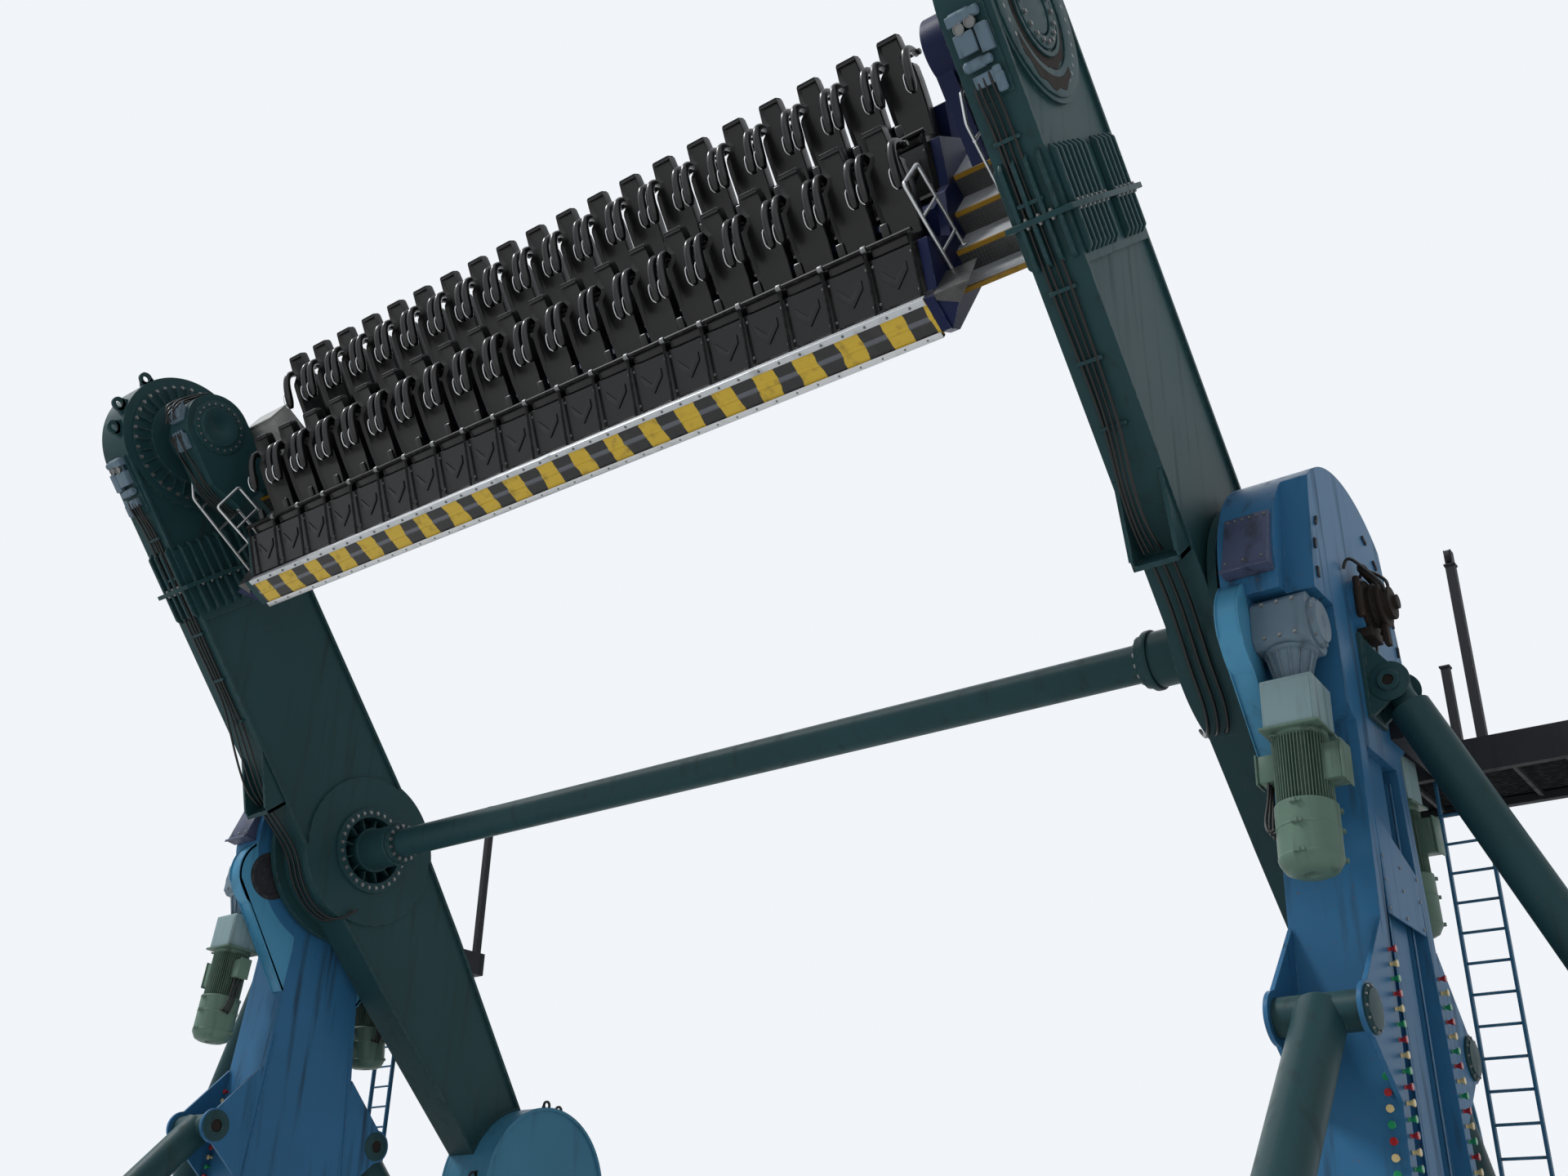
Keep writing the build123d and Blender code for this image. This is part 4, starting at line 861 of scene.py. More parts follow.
# %% [markdown]
# ## The striped front board
# The board hangs between a bolted angle above and a bent lip below. Both are bare
# aluminium, so they are their own pieces over the board's edges.

# %% Board trims
def long_strip(name, y, z, outline, slot):
    """A strip along the whole row, from its outline about (y, z)."""
    strip = plate(name, shifted(outline, y, z), -row_half, row_half)
    on_gondola(soften(strip, 0.004, 2), slot)


long_strip("board_angle", floor_front, floor_top, [(-0.016, -0.062), (-0.012, -0.062), (-0.012, 0.002),
                                                   (0.07, 0.002), (0.07, 0.008), (-0.016, 0.008)],
           "tread_aluminium")
long_strip("board_lip", floor_front, board_low, [(-0.024, -0.058), (0.04, -0.058), (0.04, -0.05),
                                                 (-0.014, -0.05), (-0.014, 0.012), (-0.024, 0.012)],
           "handrail_steel")
long_strip("board_swage", floor_front, swage_level, [(0.002, -0.03), (-0.008, -0.018), (-0.008, 0.018),
                                                     (0.002, 0.03)], "skirt_black")
bolt_pitch = 0.27
count = int(2 * row_half / bolt_pitch)
strip_bolts = [gondola_space @ at((index - (count - 1) / 2) * bolt_pitch, floor_front - 0.016, z)
               @ turn(90, "X") for index in range(count) for z in (floor_top - 0.03, board_low - 0.024)]
settle(repeat("board_bolts", bolt_head(0.013, 0.012), strip_bolts), "gondola", bolt_finish)
print(count, "bolts in each strip")

# %% [markdown]
# ## Drives
# Two drives hang on each tower's head. From the top down: a right-angle gearbox with a
# round bearing cover, a ribbed bell, a square coupling box and a motor. The motor's upper
# half has thin cooling fins, the lower half a smooth cowl held by clamps. Turned profiles
# give the round parts, and one fin copied round the axis gives the cooling ribs.

# %% Sizes of a drive
drive_x = sum(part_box("drive_motors_right")[corner].x for corner in (0, 1)) / 2
pinion_y, pinion_z = 1.15, -0.55
drive_lean = 5
box_half = 0.25
bell_low = -0.58
coupling_low = -1.05
motor_low = coupling_low - 1.28
fins_low = coupling_low - 0.68
motor_radius = 0.268
fin_count = 52
terminal_top = coupling_low - 0.16
left_terminal_height = 0.26


def drive_space(side):
    """A drive's space: pinion level at zero, the motor's axis along Z, on the front (-1) or back."""
    return at(drive_x, side * pinion_y, hub.z + pinion_z) @ turn(side * drive_lean, "X")


def on_drives(name, make, finish, replaces=()):
    """Make a piece of both drives, front and back, and settle it on both towers."""
    on_towers(name, [placed(make(), drive_space(side)) for side in (-1, 1)], finish, replaces=replaces)


def terminal_box(side, width, height):
    """A cast terminal box with a bolted lid on one side of the fins."""
    x0 = side * 0.2
    x1 = side * 0.37
    low = terminal_top - height
    case = soften(bar("case", (min(x0, x1), -width / 2, low), (max(x0, x1), width / 2, low + height)),
                  0.018, 2)
    lid_low, lid_high = sorted((x1, x1 + side * 0.02))
    lid = soften(bar("lid", (lid_low, -width / 2 - 0.012, low - 0.012),
                     (lid_high, width / 2 + 0.012, low + height + 0.012)), 0.006, 2)
    return [case, lid]


def motor():
    """The motor with its flange, fins, cowl and two terminal boxes."""
    core = turned("core", rectangle(0, coupling_low - 0.02, 0.2, fins_low), "Z", 32)
    flange = turned("flange", shifted([(0, 0), (0.235, 0), (0.24, -0.012), (0.24, -0.05), (0.21, -0.075),
                                       (0, -0.075)], 0, coupling_low), "Z", 32)
    cowl_line = [(0, fins_low + 0.01)]
    cowl_line += shifted([(-0.012, 0.01), (0, -0.004), (0, -0.2), (0.004, -0.205), (0.004, -0.215),
                          (0, -0.22)], motor_radius, fins_low)
    cowl_line += shifted([(0, 0.14), (0.004, 0.135), (0.004, 0.125), (-0.004, 0.1), (-0.045, 0.03),
                          (-0.1, 0.004)], motor_radius, motor_low)
    cowl_line += shifted([(0.07, 0), (0.06, 0.012), (0, 0.012)], 0, motor_low)
    cowl = turned("cowl", cowl_line, "Z", 40)
    fin = soften(bar("fin", (-0.0035, 0.195, fins_low + 0.012), (0.0035, 0.246, coupling_low - 0.07)),
                 0.0015, 1)
    fins = repeat("fins", fin, [turn(index * 360 / fin_count, "Z") for index in range(fin_count)])
    terminals = terminal_box(-1, 0.16, left_terminal_height) + terminal_box(1, 0.22, 0.34)
    return join("motor", [core, flange, cowl, fins] + terminals)


on_drives("motors", motor, "motor_green", ["drive_motors"])


def gearbox():
    """The case with chamfered edges, its bearing cover and ribbed bell."""
    near, far = box_half - 0.07, box_half
    outline = [(-near, -far), (near, -far), (far, -near), (far, near), (near, far), (-near, far),
               (-far, near), (-far, -near)]
    case = soften(plate("case", outline, -0.26, box_half), 0.012, 2)
    cover = placed(turned("cover", [(0, 0), (0.232, 0), (0.235, 0.008), (0.235, 0.03), (0.2, 0.05),
                                    (0.19, 0.07), (0.06, 0.07), (0.05, 0.062), (0, 0.062)], "X", 40),
                   at(box_half))
    bell = turned("bell", [(0, -box_half), (0.235, -box_half), (0.235, -box_half - 0.03),
                           (0.2, -box_half - 0.045), (0.13, bell_low + 0.03), (0.15, bell_low + 0.02),
                           (0.15, bell_low), (0, bell_low)], "Z", 32)
    rib_outline = [(0.12, bell_low + 0.02), (0.15, bell_low + 0.02), (0.225, -box_half - 0.03),
                   (0.18, -box_half - 0.03)]
    rib = plate("rib", rib_outline, -0.007, 0.007)
    ribs = repeat("ribs", rib, [turn(index * 30 + 15, "Z") for index in range(12)])
    return join("gearbox", [case, cover, bell, ribs])


def coupling_box():
    """The sheet box round the coupling, with a folded lid on its front."""
    half = 0.235
    box = soften(bar("box", (-half, -half, coupling_low), (half, half, bell_low)), 0.012, 2)
    lid = soften(bar("lid", (-half + 0.02, -half - 0.006, coupling_low + 0.02),
                     (half - 0.02, -half, bell_low - 0.03)), 0.003, 1)
    return join("coupling_box", [box, lid])


def gearbox_bolts():
    """Bolts round the bearing cover and on the case's front."""
    ring = [at(box_half + 0.03) @ turn(index * 36, "X") @ at(0, 0, 0.217) @ turn(90, "Y")
            for index in range(10)]
    front = [at(x, -box_half, z) @ turn(90, "X") for x in (-0.14, 0, 0.14) for z in (-0.17, 0.17)]
    return repeat("bolts", bolt_head(0.016, 0.014), ring + front)


on_drives("gearbox_cases", gearbox, "gearbox_grey", ["gearboxes"])
on_drives("coupling_boxes", coupling_box, paint("coupling_grey", shade(122, 146, 150), 0.5, 0.4))
on_drives("gearbox_bolts", gearbox_bolts, bolt_finish)
print("drives at x", round(drive_x, 3))

# %% [markdown]
# ## Bolt circles on the arms
# The hub ring, the tube's flange, the bearing housing and the crown of each arm are ringed
# with bolts. A helper gives the places round a circle across X; the heads face outwards.

# %% Bolt circles
arm_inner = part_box("arm_right")[0].x
arm_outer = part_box("arm_right")[1].x


def circle_places(space, x, radius, count, outwards=1):
    """Places round a circle that lies across X, with their height along X."""
    return [space @ at(x) @ turn(index * 360 / count, "X") @ at(0, 0, radius) @ turn(90 * outwards, "Y")
            for index in range(count)]


crown_space = arm_space @ at(0, 0, gondola_reach)
rings = []
for space, x, radius, count, outwards in ((arm_space, arm_inner - 0.045, 0.56, 28, -1),
                                          (arm_space, arm_inner - 0.735, 0.245, 14, -1),
                                          (crown_space, arm_inner - 0.03, 0.835, 36, -1),
                                          (crown_space, arm_outer, 0.78, 36, 1),
                                          (crown_space, arm_outer + 0.035, 0.36, 18, 1)):
    rings += circle_places(space, x, radius, count, outwards)
settle_pair(repeat("arm_bolts", bolt_head(0.024, 0.024), rings), "swing_arms", bolt_finish)

crown_ring = turned("crown_ring", [(0.3, 0), (0.42, 0), (0.425, 0.006), (0.425, 0.028), (0.42, 0.034),
                                   (0.3, 0.034), (0.295, 0.028), (0.295, 0.006)], "X", 48)
crown_cover = turned("crown_cover", [(0, 0), (0.27, 0), (0.28, 0.01), (0.27, 0.022), (0.09, 0.03), (0, 0.03)],
                     "X", 48)
crown_plate = placed(join("crown_plate", [crown_ring, crown_cover]), crown_space @ at(arm_outer))
settle_pair(crown_plate, "swing_arms", "arm_green")
print(len(rings), "bolts on each arm")

# %% [markdown]
# ## Lamps on the towers
# Rows of coloured caps run down both edges of each tower: red, ivory and green in turn.
# A cap is a small flared cone, so it is turned, and the rows follow the tower's taper.

# %% Lamps
tower_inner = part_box("gear_covers_right")[0].x
tower_thick = 0.8
tower_outer = tower_inner + tower_thick
lamp_top = 6.2
lamp_low = 0.55
lamp_pitch = 0.125
tower_top = hub.z - 1.5
top_half, foot_half = 0.6, 1.35


def tower_half(height):
    """Half the tower's width at a height."""
    return top_half + (foot_half - top_half) * (1 - height / tower_top)


lamp_places = {"red": [], "ivory": [], "green": []}
colours = list(lamp_places)
for index in range(int((lamp_top - lamp_low) / lamp_pitch)):
    height = lamp_top - index * lamp_pitch
    half = tower_half(height)
    for side in (-1, 1):
        lamp_places[colours[index % 3]] += [
            at(tower_outer, side * (half - 0.09), height) @ turn(90, "Y"),
            at(tower_outer - 0.09, side * half, height - 0.05) @ turn(-90 * side, "X")]
cap_profile = [(0, 0.004), (0.02, 0.004), (0.016, 0.014), (0.018, 0.03), (0.034, 0.062), (0.03, 0.068),
               (0, 0.07)]
cap_shades = {"red": shade(150, 30, 36), "ivory": shade(196, 178, 128), "green": shade(30, 130, 84)}
for colour, places in lamp_places.items():
    caps = repeat("lamps_" + colour, turned("cap", cap_profile, "Z", 8), places)
    settle_pair(caps, "root", moulded("lamp_" + colour, cap_shades[colour], 0.25, 0.3, 60))
print(sum(len(places) for places in lamp_places.values()), "lamps on each tower")

# %% [markdown]
# ## Bent guards
# Two ladder-like guards of bent steel tube stand on each stair, one beside the seats and one
# beside the arm. A smooth curve cuts every corner, so each corner gets three points close
# together: the runs between stay straight and only the bend is round.

# %% Guards
guard_radius = 0.02
guard_bend = 0.09
inner_guard = [(-1.07, -1.955), (-1.1, -0.73), (-0.6, -0.73), (-0.56, -1.7)]
outer_guard = [(-0.83, -1.955), (-0.765, -0.56), (-0.52, -0.315), (-0.285, -0.325), (-0.3, -1.7)]
stair_in = row_half + 0.11
stair_out = stair_in + 0.8


def bent_tube(name, x, corners, radius, bend):
    """A tube across X with straight runs and rounded corners."""
    corners = [Vector((x, y, z)) for y, z in corners]
    points = [corners[0]]
    for before, here, after in zip(corners, corners[1:], corners[2:]):
        points += [here + (before - here).normalized() * bend, here,
                   here + (after - here).normalized() * bend]
    return hose(name, points + [corners[-1]], radius, 3)


def guard(x, corners, rungs, front, back):
    """One guard with its rungs and the round feet it stands on."""
    parts = [bent_tube("guard", x, corners, guard_radius, guard_bend)]
    parts += [bent_tube("rung", x, [(front, z), (back, z)], guard_radius * 0.85, guard_bend) for z in rungs]
    foot = [(0, 0), (0.045, 0), (0.045, 0.006), (0.026, 0.012), (0.022, 0.03), (0, 0.03)]
    parts += [placed(turned("foot", foot, "Z", 16), at(x, y, z)) for y, z in (corners[0], corners[-1])]
    return join("guard", parts)


guards = [guard(stair_in + 0.06, inner_guard, (-1.12, -1.52), -1.085, -0.585),
          guard(stair_out - 0.025, outer_guard, (-0.73, -1.12, -1.54), -0.79, -0.297)]
right_guards = join("guards", guards)
left_guards = copied(right_guards, mirror_sides)
both_guards = placed(join("end_guards", [right_guards, left_guards]), gondola_space)
settle(both_guards, "gondola", "handrail_steel", ["end_handrails"])
print("guards have", len(both_guards.data.polygons), "faces")

# %% [markdown]
# ## Stairs
# The stairs are folded aluminium treads with a yellow angle along each nose, on dark
# checkered risers. A folded sheet is an outline with a return at each end, so it keeps its
# thin edges from every side. The landing goes round the foot of the lever, and a checker
# plate joins the lower floor to the first tread.

# %% Treads, risers and landing
step_rise = row_shift.z / 2
step_run = 0.42
step_y = -1.09
step_z = floor_top - step_rise
tread_fold = 0.045
landing_y = step_y + 3 * step_run
landing_z = step_z + 3 * step_rise
landing_back = landing_y + 0.83
lever_foot = (0.19, 0.58)


def tread(y, z):
    """A folded tread between the two sides of the stair."""
    low, end = -tread_fold, step_run - 0.005
    outline = [(0, low), (0.03, low), (0.03, low + 0.005), (0.005, low + 0.005), (0.005, -0.005),
               (end, -0.005), (end, low), (step_run, low), (step_run, 0), (0, 0)]
    return plate("tread", shifted(outline, y, z), stair_in, stair_out)


def nosing(y, z):
    """The angle that protects a tread's nose."""
    low = -tread_fold - 0.002
    outline = [(-0.003, low), (0, low), (0, 0), (0.032, 0), (0.032, 0.003), (-0.003, 0.003)]
    return soften(plate("nosing", shifted(outline, y, z), stair_in, stair_out), 0.001, 1)


def riser(y, z):
    """The plate behind a tread, with its outer lower corner rounded."""
    low = z - tread_fold
    high = z + step_rise - tread_fold
    round_corner = 0.07
    angles = [math.radians(step * 22.5) for step in range(5)]
    arc = [(stair_out - round_corner + round_corner * math.sin(angle),
            low + round_corner - round_corner * math.cos(angle)) for angle in angles]
    outline = [(stair_in, low)] + arc + [(stair_out, high), (stair_in, high)]
    return plate("riser", outline, y + step_run, y + step_run + 0.012, "Y")


def landing(lever_gap):
    """The upper landing, cut out round the lever's foot."""
    cut = stair_in + lever_gap - 0.0003
    front, back = lever_foot[0] - 0.0003, lever_foot[1] + 0.0003
    outline = [(stair_in, landing_y), (stair_out, landing_y), (stair_out, front), (cut, front), (cut, back),
               (stair_out, back), (stair_out, landing_back), (stair_in, landing_back)]
    return plate("landing", outline, landing_z - tread_fold, landing_z, "Z")


steps = [(step_y + index * step_run, step_z + index * step_rise) for index in range(3)]
# How deep each landing is cut for its lever, and how far its walkway reaches beside the stair.
end_sizes = {"right": (0.555, 0.41), "left": (0.305, 0.16)}
for word, (gap, reach) in end_sizes.items():
    place = end_spaces[word]
    treads = join("treads_" + word, [tread(y, z) for y, z in steps] + [landing(gap)])
    on_gondola(treads, "tread_aluminium", ["end_steps_" + word], space=place)
    noses = join("nosings_" + word, [nosing(y, z) for y, z in steps + [(landing_y, landing_z)]])
    on_gondola(noses, nosing_finish, space=place)
    risers = join("risers_" + word, [riser(y, z) for y, z in steps])
    on_gondola(risers, riser_finish, space=place)
    walk = plate("walk", [(row_half, floor_front + 0.02), (stair_in + reach, floor_front + 0.02),
                          (stair_in + 0.36, step_y - 0.005), (row_half, step_y - 0.005)], floor_top - 0.008,
                 floor_top, "Z")
    gusset = plate("gusset", [(row_half - 0.02, floor_top), (stair_in + reach, floor_top),
                              (stair_in + reach / 2, floor_top - 0.175)], floor_front + 0.012,
                   floor_front + 0.02, "Y")
    walkway = placed(join("walkway_" + word, [walk, gusset]), place)
    settle(soften(walkway, 0.002, 1), "gondola", riser_finish)
    knee = plate("knee", [(stair_in - 0.01, floor_top - 0.02), (stair_in + 0.3, floor_top - 0.09),
                          (stair_in + 0.165, floor_top - 0.21), (stair_in - 0.01, floor_top - 0.42)],
                 floor_front + 0.03, floor_front + 0.045, "Y")
    on_gondola(soften(knee, 0.003, 1), "frame_navy", space=place)
print(len(steps), "treads and a landing on each side")

# %% [markdown]
# ## Levers and the control box
# A lever carries each end of the gondola from its axis. Its nose has a ring of bolts round a
# stepped cover, and the left one also carries a valve box whose hoses drape over the nose.
# The control box is a body with an overhanging lid, a door with a seam round it, hinges and
# a turned handle, each a small piece of its own.

# %% Levers
def stepped_cover(radius, height):
    """A round cover that rises in two steps, drawn across X."""
    profile = [(0, 0), (radius, 0), (radius, height * 0.3), (radius * 0.97, height * 0.4),
               (radius * 0.74, height * 0.4), (radius * 0.7, height), (radius * 0.3, height),
               (radius * 0.26, height * 0.8), (0, height * 0.8)]
    return turned("cover", profile, "X", 40)


def valve_box(width, depth, height):
    """A cast box with a bolted lid and four unions on its side."""
    case = soften(bar("case", (-width / 2, -depth, 0), (width / 2, 0, height)), 0.012, 2)
    lid = soften(bar("lid", (-width / 2 - 0.01, -depth - 0.014, 0.02),
                     (width / 2 + 0.01, -depth, height - 0.02)), 0.004, 1)
    union = [(0, 0), (0.026, 0), (0.026, 0.025), (0.018, 0.025), (0.018, 0.06), (0, 0.06)]
    places = [at(x, -depth / 2, height) for x in (-0.09, -0.03, 0.03, 0.09)]
    unions = [placed(turned("union", union, "Z", 6), place) for place in places]
    return join("valve_box", [case, lid] + unions)


lever_faces = {"right": (6.1, 0.3), "left": (5.85, 0.4)}
for word, (face, radius) in lever_faces.items():
    place = end_spaces[word]
    cover = placed(stepped_cover(radius, 0.05), at(face) @ turn(180, "Z"))
    # Both covers are one paint. The left is given the arms' green and the right navy, the colour it shows in shade
    # under the blue sky: a painted shade and sky reflection.
    on_gondola(cover, finishes["arm_green" if word == "left" else "frame_navy"], space=place)
    heads = circle_places(at(), face - 0.015, radius * 0.86, 20, -1)
    on_gondola(repeat("lever_bolts_" + word, bolt_head(0.018, 0.016), heads), bolt_finish, space=place)

box_places = [at(-6.05, -0.47, 0.02) @ turn(-12, "X"), at(-6.05, -0.3, 0.36) @ turn(-50, "X")]
boxes = join("lever_valves", [placed(valve_box(0.26, 0.09, 0.22), place) for place in box_places])
on_gondola(boxes, "gearbox_grey")
lever_hoses = []
for index in range(5):
    x = -6.17 + index * 0.06
    sag = 0.03 * ((index * 7) % 5)
    line = [(x, -0.52, 0.28), (x, -0.56 - sag, 0.12), (x + 0.02, -0.62 - sag, -0.2), (x + 0.01, -0.76, -0.52),
            (x, -0.73, -0.8), (x - 0.01, -0.66, -1.05)]
    lever_hoses.append(hose("hose", line, 0.013, 2))
    over = [(x, -0.42, 0.45), (x + 0.01, -0.3 - sag, 0.56 + sag), (x + 0.02, 0, 0.55 + sag * 0.5),
            (x, 0.3, 0.44)]
    lever_hoses.append(hose("hose", over, 0.013, 2))
on_gondola(join("lever_hoses", lever_hoses), rubber)


# %% Control box
def control_box():
    """The control box with its lid, door, hinges, handle and feet, seen from the front."""
    x0, x1 = -6.165, -5.545
    y0, y1 = 0.6, 1.0
    z0, z1 = landing_z, landing_z + 0.9
    body = soften(bar("body", (x0 + 0.012, y0 + 0.014, z0 + 0.03), (x1 - 0.002, y1 - 0.004, z1 - 0.02)),
                  0.008, 2)
    lid = soften(plate("lid", [(y0, z1 - 0.028), (y1, z1 - 0.028), (y1, z1 - 0.012), (y0, z1)], x0, x1),
                 0.003, 1)
    door = soften(bar("door", (x0 + 0.04, y0 + 0.002, z0 + 0.07), (x1 - 0.04, y0 + 0.014, z1 - 0.06)),
                  0.004, 2)
    parts = [body, lid, door]
    for z in (z0 + 0.2, z0 + 0.7):
        hinge = turned("hinge", rectangle(0, 0, 0.009, 0.07), "Z", 8)
        parts.append(placed(hinge, at(x0 + 0.034, y0 + 0.006, z)))
    boss = turned("boss", [(0, 0), (0.02, 0), (0.02, 0.008), (0.012, 0.012), (0, 0.012)], "Y", 16)
    parts.append(placed(boss, at(x1 - 0.09, y0 + 0.002, z0 + 0.45) @ turn(180, "Z")))
    parts.append(soften(bar("handle", (x1 - 0.098, y0 - 0.014, z0 + 0.36),
                            (x1 - 0.082, y0 - 0.004, z0 + 0.47)), 0.003, 1))
    for x in (x0 + 0.05, x1 - 0.08):
        parts.append(bar("foot", (x, y0 + 0.02, z0), (x + 0.05, y1 - 0.02, z0 + 0.03)))
    return join("control_box", parts)


on_gondola(control_box(), "cabinet_grey", ["control_cabinet"])
print("levers and control box ready")

# %% [markdown]
# ## The bolted joint across each arm
# Below the crown each arm is bolted together: a thick lip runs all round it, and long square
# bars stiffen the plates above and below. One bar with a sloping end is drawn standing on a
# face, and turns of a half and a quarter put copies of it on all four faces.

# %% Splice lip and bars
splice_level = gondola_reach - 1.9
lip_reach = 0.085
lip_half = 0.03
bar_depth = 0.07
outer_pitch, inner_pitch, edge_pitch = 0.135, 0.16, 0.13


def stiffener(length):
    """A square bar on the plane x = 0, from the lip's face up, with a sloping end."""
    outline = [(0, lip_half), (bar_depth, lip_half), (bar_depth, length - 0.06), (0.02, length), (0, length)]
    return soften(plate("stiffener", outline, -0.021, 0.021, "Y"), 0.007, 1)


outer_bars = [-0.9 + outer_pitch * index for index in range(7)]
outer_bars += [0.28 + outer_pitch * index for index in range(5)]
inner_bars = [-0.88 + inner_pitch * index for index in range(12)]
edge_bars = [arm_inner + 0.07 + edge_pitch * index for index in range(4)]
up_turns, down_turns = [], []
for y in outer_bars:
    up_turns.append(at(arm_outer, y, splice_level))
    down_turns.append(at(arm_outer, y, splice_level) @ turn(180, "X"))
for y in inner_bars:
    up_turns.append(at(arm_inner, y, splice_level) @ turn(180, "Z"))
    down_turns.append(at(arm_inner, y, splice_level) @ turn(180, "Y"))
for x in edge_bars:
    for y, quarter in ((-1, -90), (1, 90)):
        up_turns.append(at(x, y, splice_level) @ turn(quarter, "Z"))
        down_turns.append(at(x, y, splice_level) @ turn(quarter, "Z") @ turn(180, "X"))
lip_box = rectangle(arm_inner - lip_reach, -1 - lip_reach, arm_outer + lip_reach, 1 + lip_reach)
lip = soften(plate("lip", lip_box, splice_level - lip_half, splice_level + lip_half, "Z"), 0.008, 2)
splice = join("splice", [repeat("up", stiffener(0.6), up_turns),
                         repeat("down", stiffener(0.45), down_turns), lip])
settle_pair(placed(splice, arm_space), "swing_arms", "arm_green", ["arm_splice"])
lip_bolts = [at(arm_outer + 0.055, y + 0.067, splice_level + lip_half) for y in outer_bars]
lip_bolts += [at(arm_outer + 0.055, y + 0.067, splice_level - lip_half) @ turn(180, "X") for y in outer_bars]
lip_bolts += [at(arm_inner - 0.055, y + 0.08, splice_level - lip_half) @ turn(180, "X") for y in inner_bars]
lip_bolts += [at(x + 0.065, -1.055, splice_level + side * lip_half) @ turn(90 - 90 * side, "X")
              for x in edge_bars[:-1] for side in (-1, 1)]
settle_pair(placed(repeat("splice_bolts", bolt_head(0.02, 0.024), lip_bolts), arm_space), "swing_arms",
            bolt_finish)
print(len(up_turns), "bars above the lip and", len(down_turns), "below it")

# %% [markdown]
# ## The crown and the arm's front edge
# The outer face of the crown has a raised flange round a recess, where rain has left dark
# ragged rust. The oil supply for the gondola's drive sits on the crown's front: valve
# blocks, filters and two dials, with hoses that run down the edge and sag beside the cable
# trough. None of it is large, but it breaks the arm's clean outline as it does on the ride.

# %% Crown face
flange = turned("flange", [(0.63, 0), (0.9, 0), (0.9, 0.016), (0.88, 0.022), (0.65, 0.022), (0.63, 0.016)],
                "X", 64)
inner_flange = turned("inner_flange", rectangle(0.455, 0, 0.5, 0.028), "X", 48)
crown_flange = placed(join("crown_flange", [flange, inner_flange]), crown_space @ at(arm_outer))
settle_pair(crown_flange, "swing_arms", "arm_green")


def ragged_ring(inner, outer, start, end, waves):
    """A thin flake of rust between two radii, with a wavy outer edge."""
    steps = 36
    far, near = [], []
    for index in range(steps + 1):
        share = index / steps
        angle = math.radians(start + (end - start) * share)
        swell = math.sin(share * math.pi) ** 0.4
        reach = inner + (outer - inner) * swell * (0.86 + 0.14 * math.sin(waves * angle))
        far.append((reach * math.sin(angle), reach * math.cos(angle)))
        near.append((inner * math.sin(angle), inner * math.cos(angle)))
    return plate("ragged", far + near[::-1], 0, 0.004)


stains = [placed(ragged_ring(0.505, 0.63, 60, 300, 13), at(arm_outer)),
          placed(ragged_ring(0.7, 0.86, 150, 250, 17), at(arm_outer + 0.021))]
on_arms("crown_rust", stains, crown_space, rusty)


# %% Lifting eyes, valves and trough
def lifting_eye(radius=0.1, hole=0.048, thick=0.04, tall=0.2):
    """A plate with a round eye, standing on z = 0 and lying across X."""
    ring = placed(turned("ring", rectangle(hole, -thick / 2, radius, thick / 2), "X", 24),
                  at(0, 0, tall - radius))
    low = tall - radius
    foot = plate("foot", [(-radius * 1.5, -0.03), (radius * 1.5, -0.03), (radius * 0.97, low),
                          (hole * 0.9, low - hole * 0.9), (-hole * 0.9, low - hole * 0.9),
                          (-radius * 0.97, low)], -thick / 2, thick / 2)
    return join("eye", [ring, foot])


def cylinder_along(axis, radius, length, x, y, z):
    """A filter or valve body with stepped ends."""
    profile = [(0, 0), (radius * 0.7, 0), (radius, length * 0.08), (radius, length * 0.7),
               (radius * 0.82, length * 0.74), (radius * 0.82, length * 0.96), (radius * 0.6, length),
               (0, length)]
    return placed(turned("body", profile, axis, 18), at(x, y, z))


def dial(x, y, z):
    """A round gauge with a raised rim, facing the front."""
    profile = [(0, 0), (0.05, 0), (0.055, 0.012), (0.055, 0.045), (0.046, 0.045), (0.044, 0.036), (0, 0.036)]
    return placed(turned("dial", profile, "Y", 24), at(x, y, z) @ turn(180, "Z"))


eye_reach = 0.985
crown_eyes = []
for x, lean in ((0.09, 62), (0.09, 42), (0.265, 0)):
    crown_eyes.append(placed(lifting_eye(), at(arm_inner + x) @ turn(lean, "X") @ at(0, 0, eye_reach)))
edge_y = -1.0
mid_x = (arm_inner + arm_outer) / 2
mounting = soften(bar("mounting", (mid_x - 0.2, edge_y - 0.02, -0.74), (mid_x + 0.2, edge_y, 0.1)), 0.004, 1)
blocks = []
for x, width, depth, z, height in ((-0.16, 0.2, 0.11, -0.3, 0.2), (0.06, 0.12, 0.1, -0.34, 0.26),
                                   (-0.12, 0.24, 0.09, -0.62, 0.12), (-0.17, 0.15, 0.12, -0.02, 0.1)):
    low_corner = (mid_x + x, edge_y - depth, z)
    blocks.append(soften(bar("block", low_corner, (mid_x + x + width, edge_y - 0.01, z + height)), 0.01, 2))
filters = [cylinder_along("X", 0.062, 0.3, mid_x - 0.15, edge_y - 0.068, 0.04),
           cylinder_along("X", 0.055, 0.28, mid_x - 0.16, edge_y - 0.07, -0.4),
           cylinder_along("Z", 0.05, 0.24, mid_x + 0.12, edge_y - 0.06, -0.72),
           cylinder_along("Z", 0.042, 0.2, mid_x - 0.08, edge_y - 0.055, -0.16)]
dials = [dial(mid_x - 0.07, edge_y - 0.075, -0.06), dial(mid_x + 0.05, edge_y - 0.075, -0.04)]
trough_low, trough_lip, trough_top = 1.23, 1.33, 2.05
trough_half = 0.24
trough_front = edge_y - 0.33
trough_back = -gondola_reach
cheek = [(edge_y, trough_low), (trough_front, trough_low), (trough_front, trough_lip), (edge_y, trough_top)]
trough = []
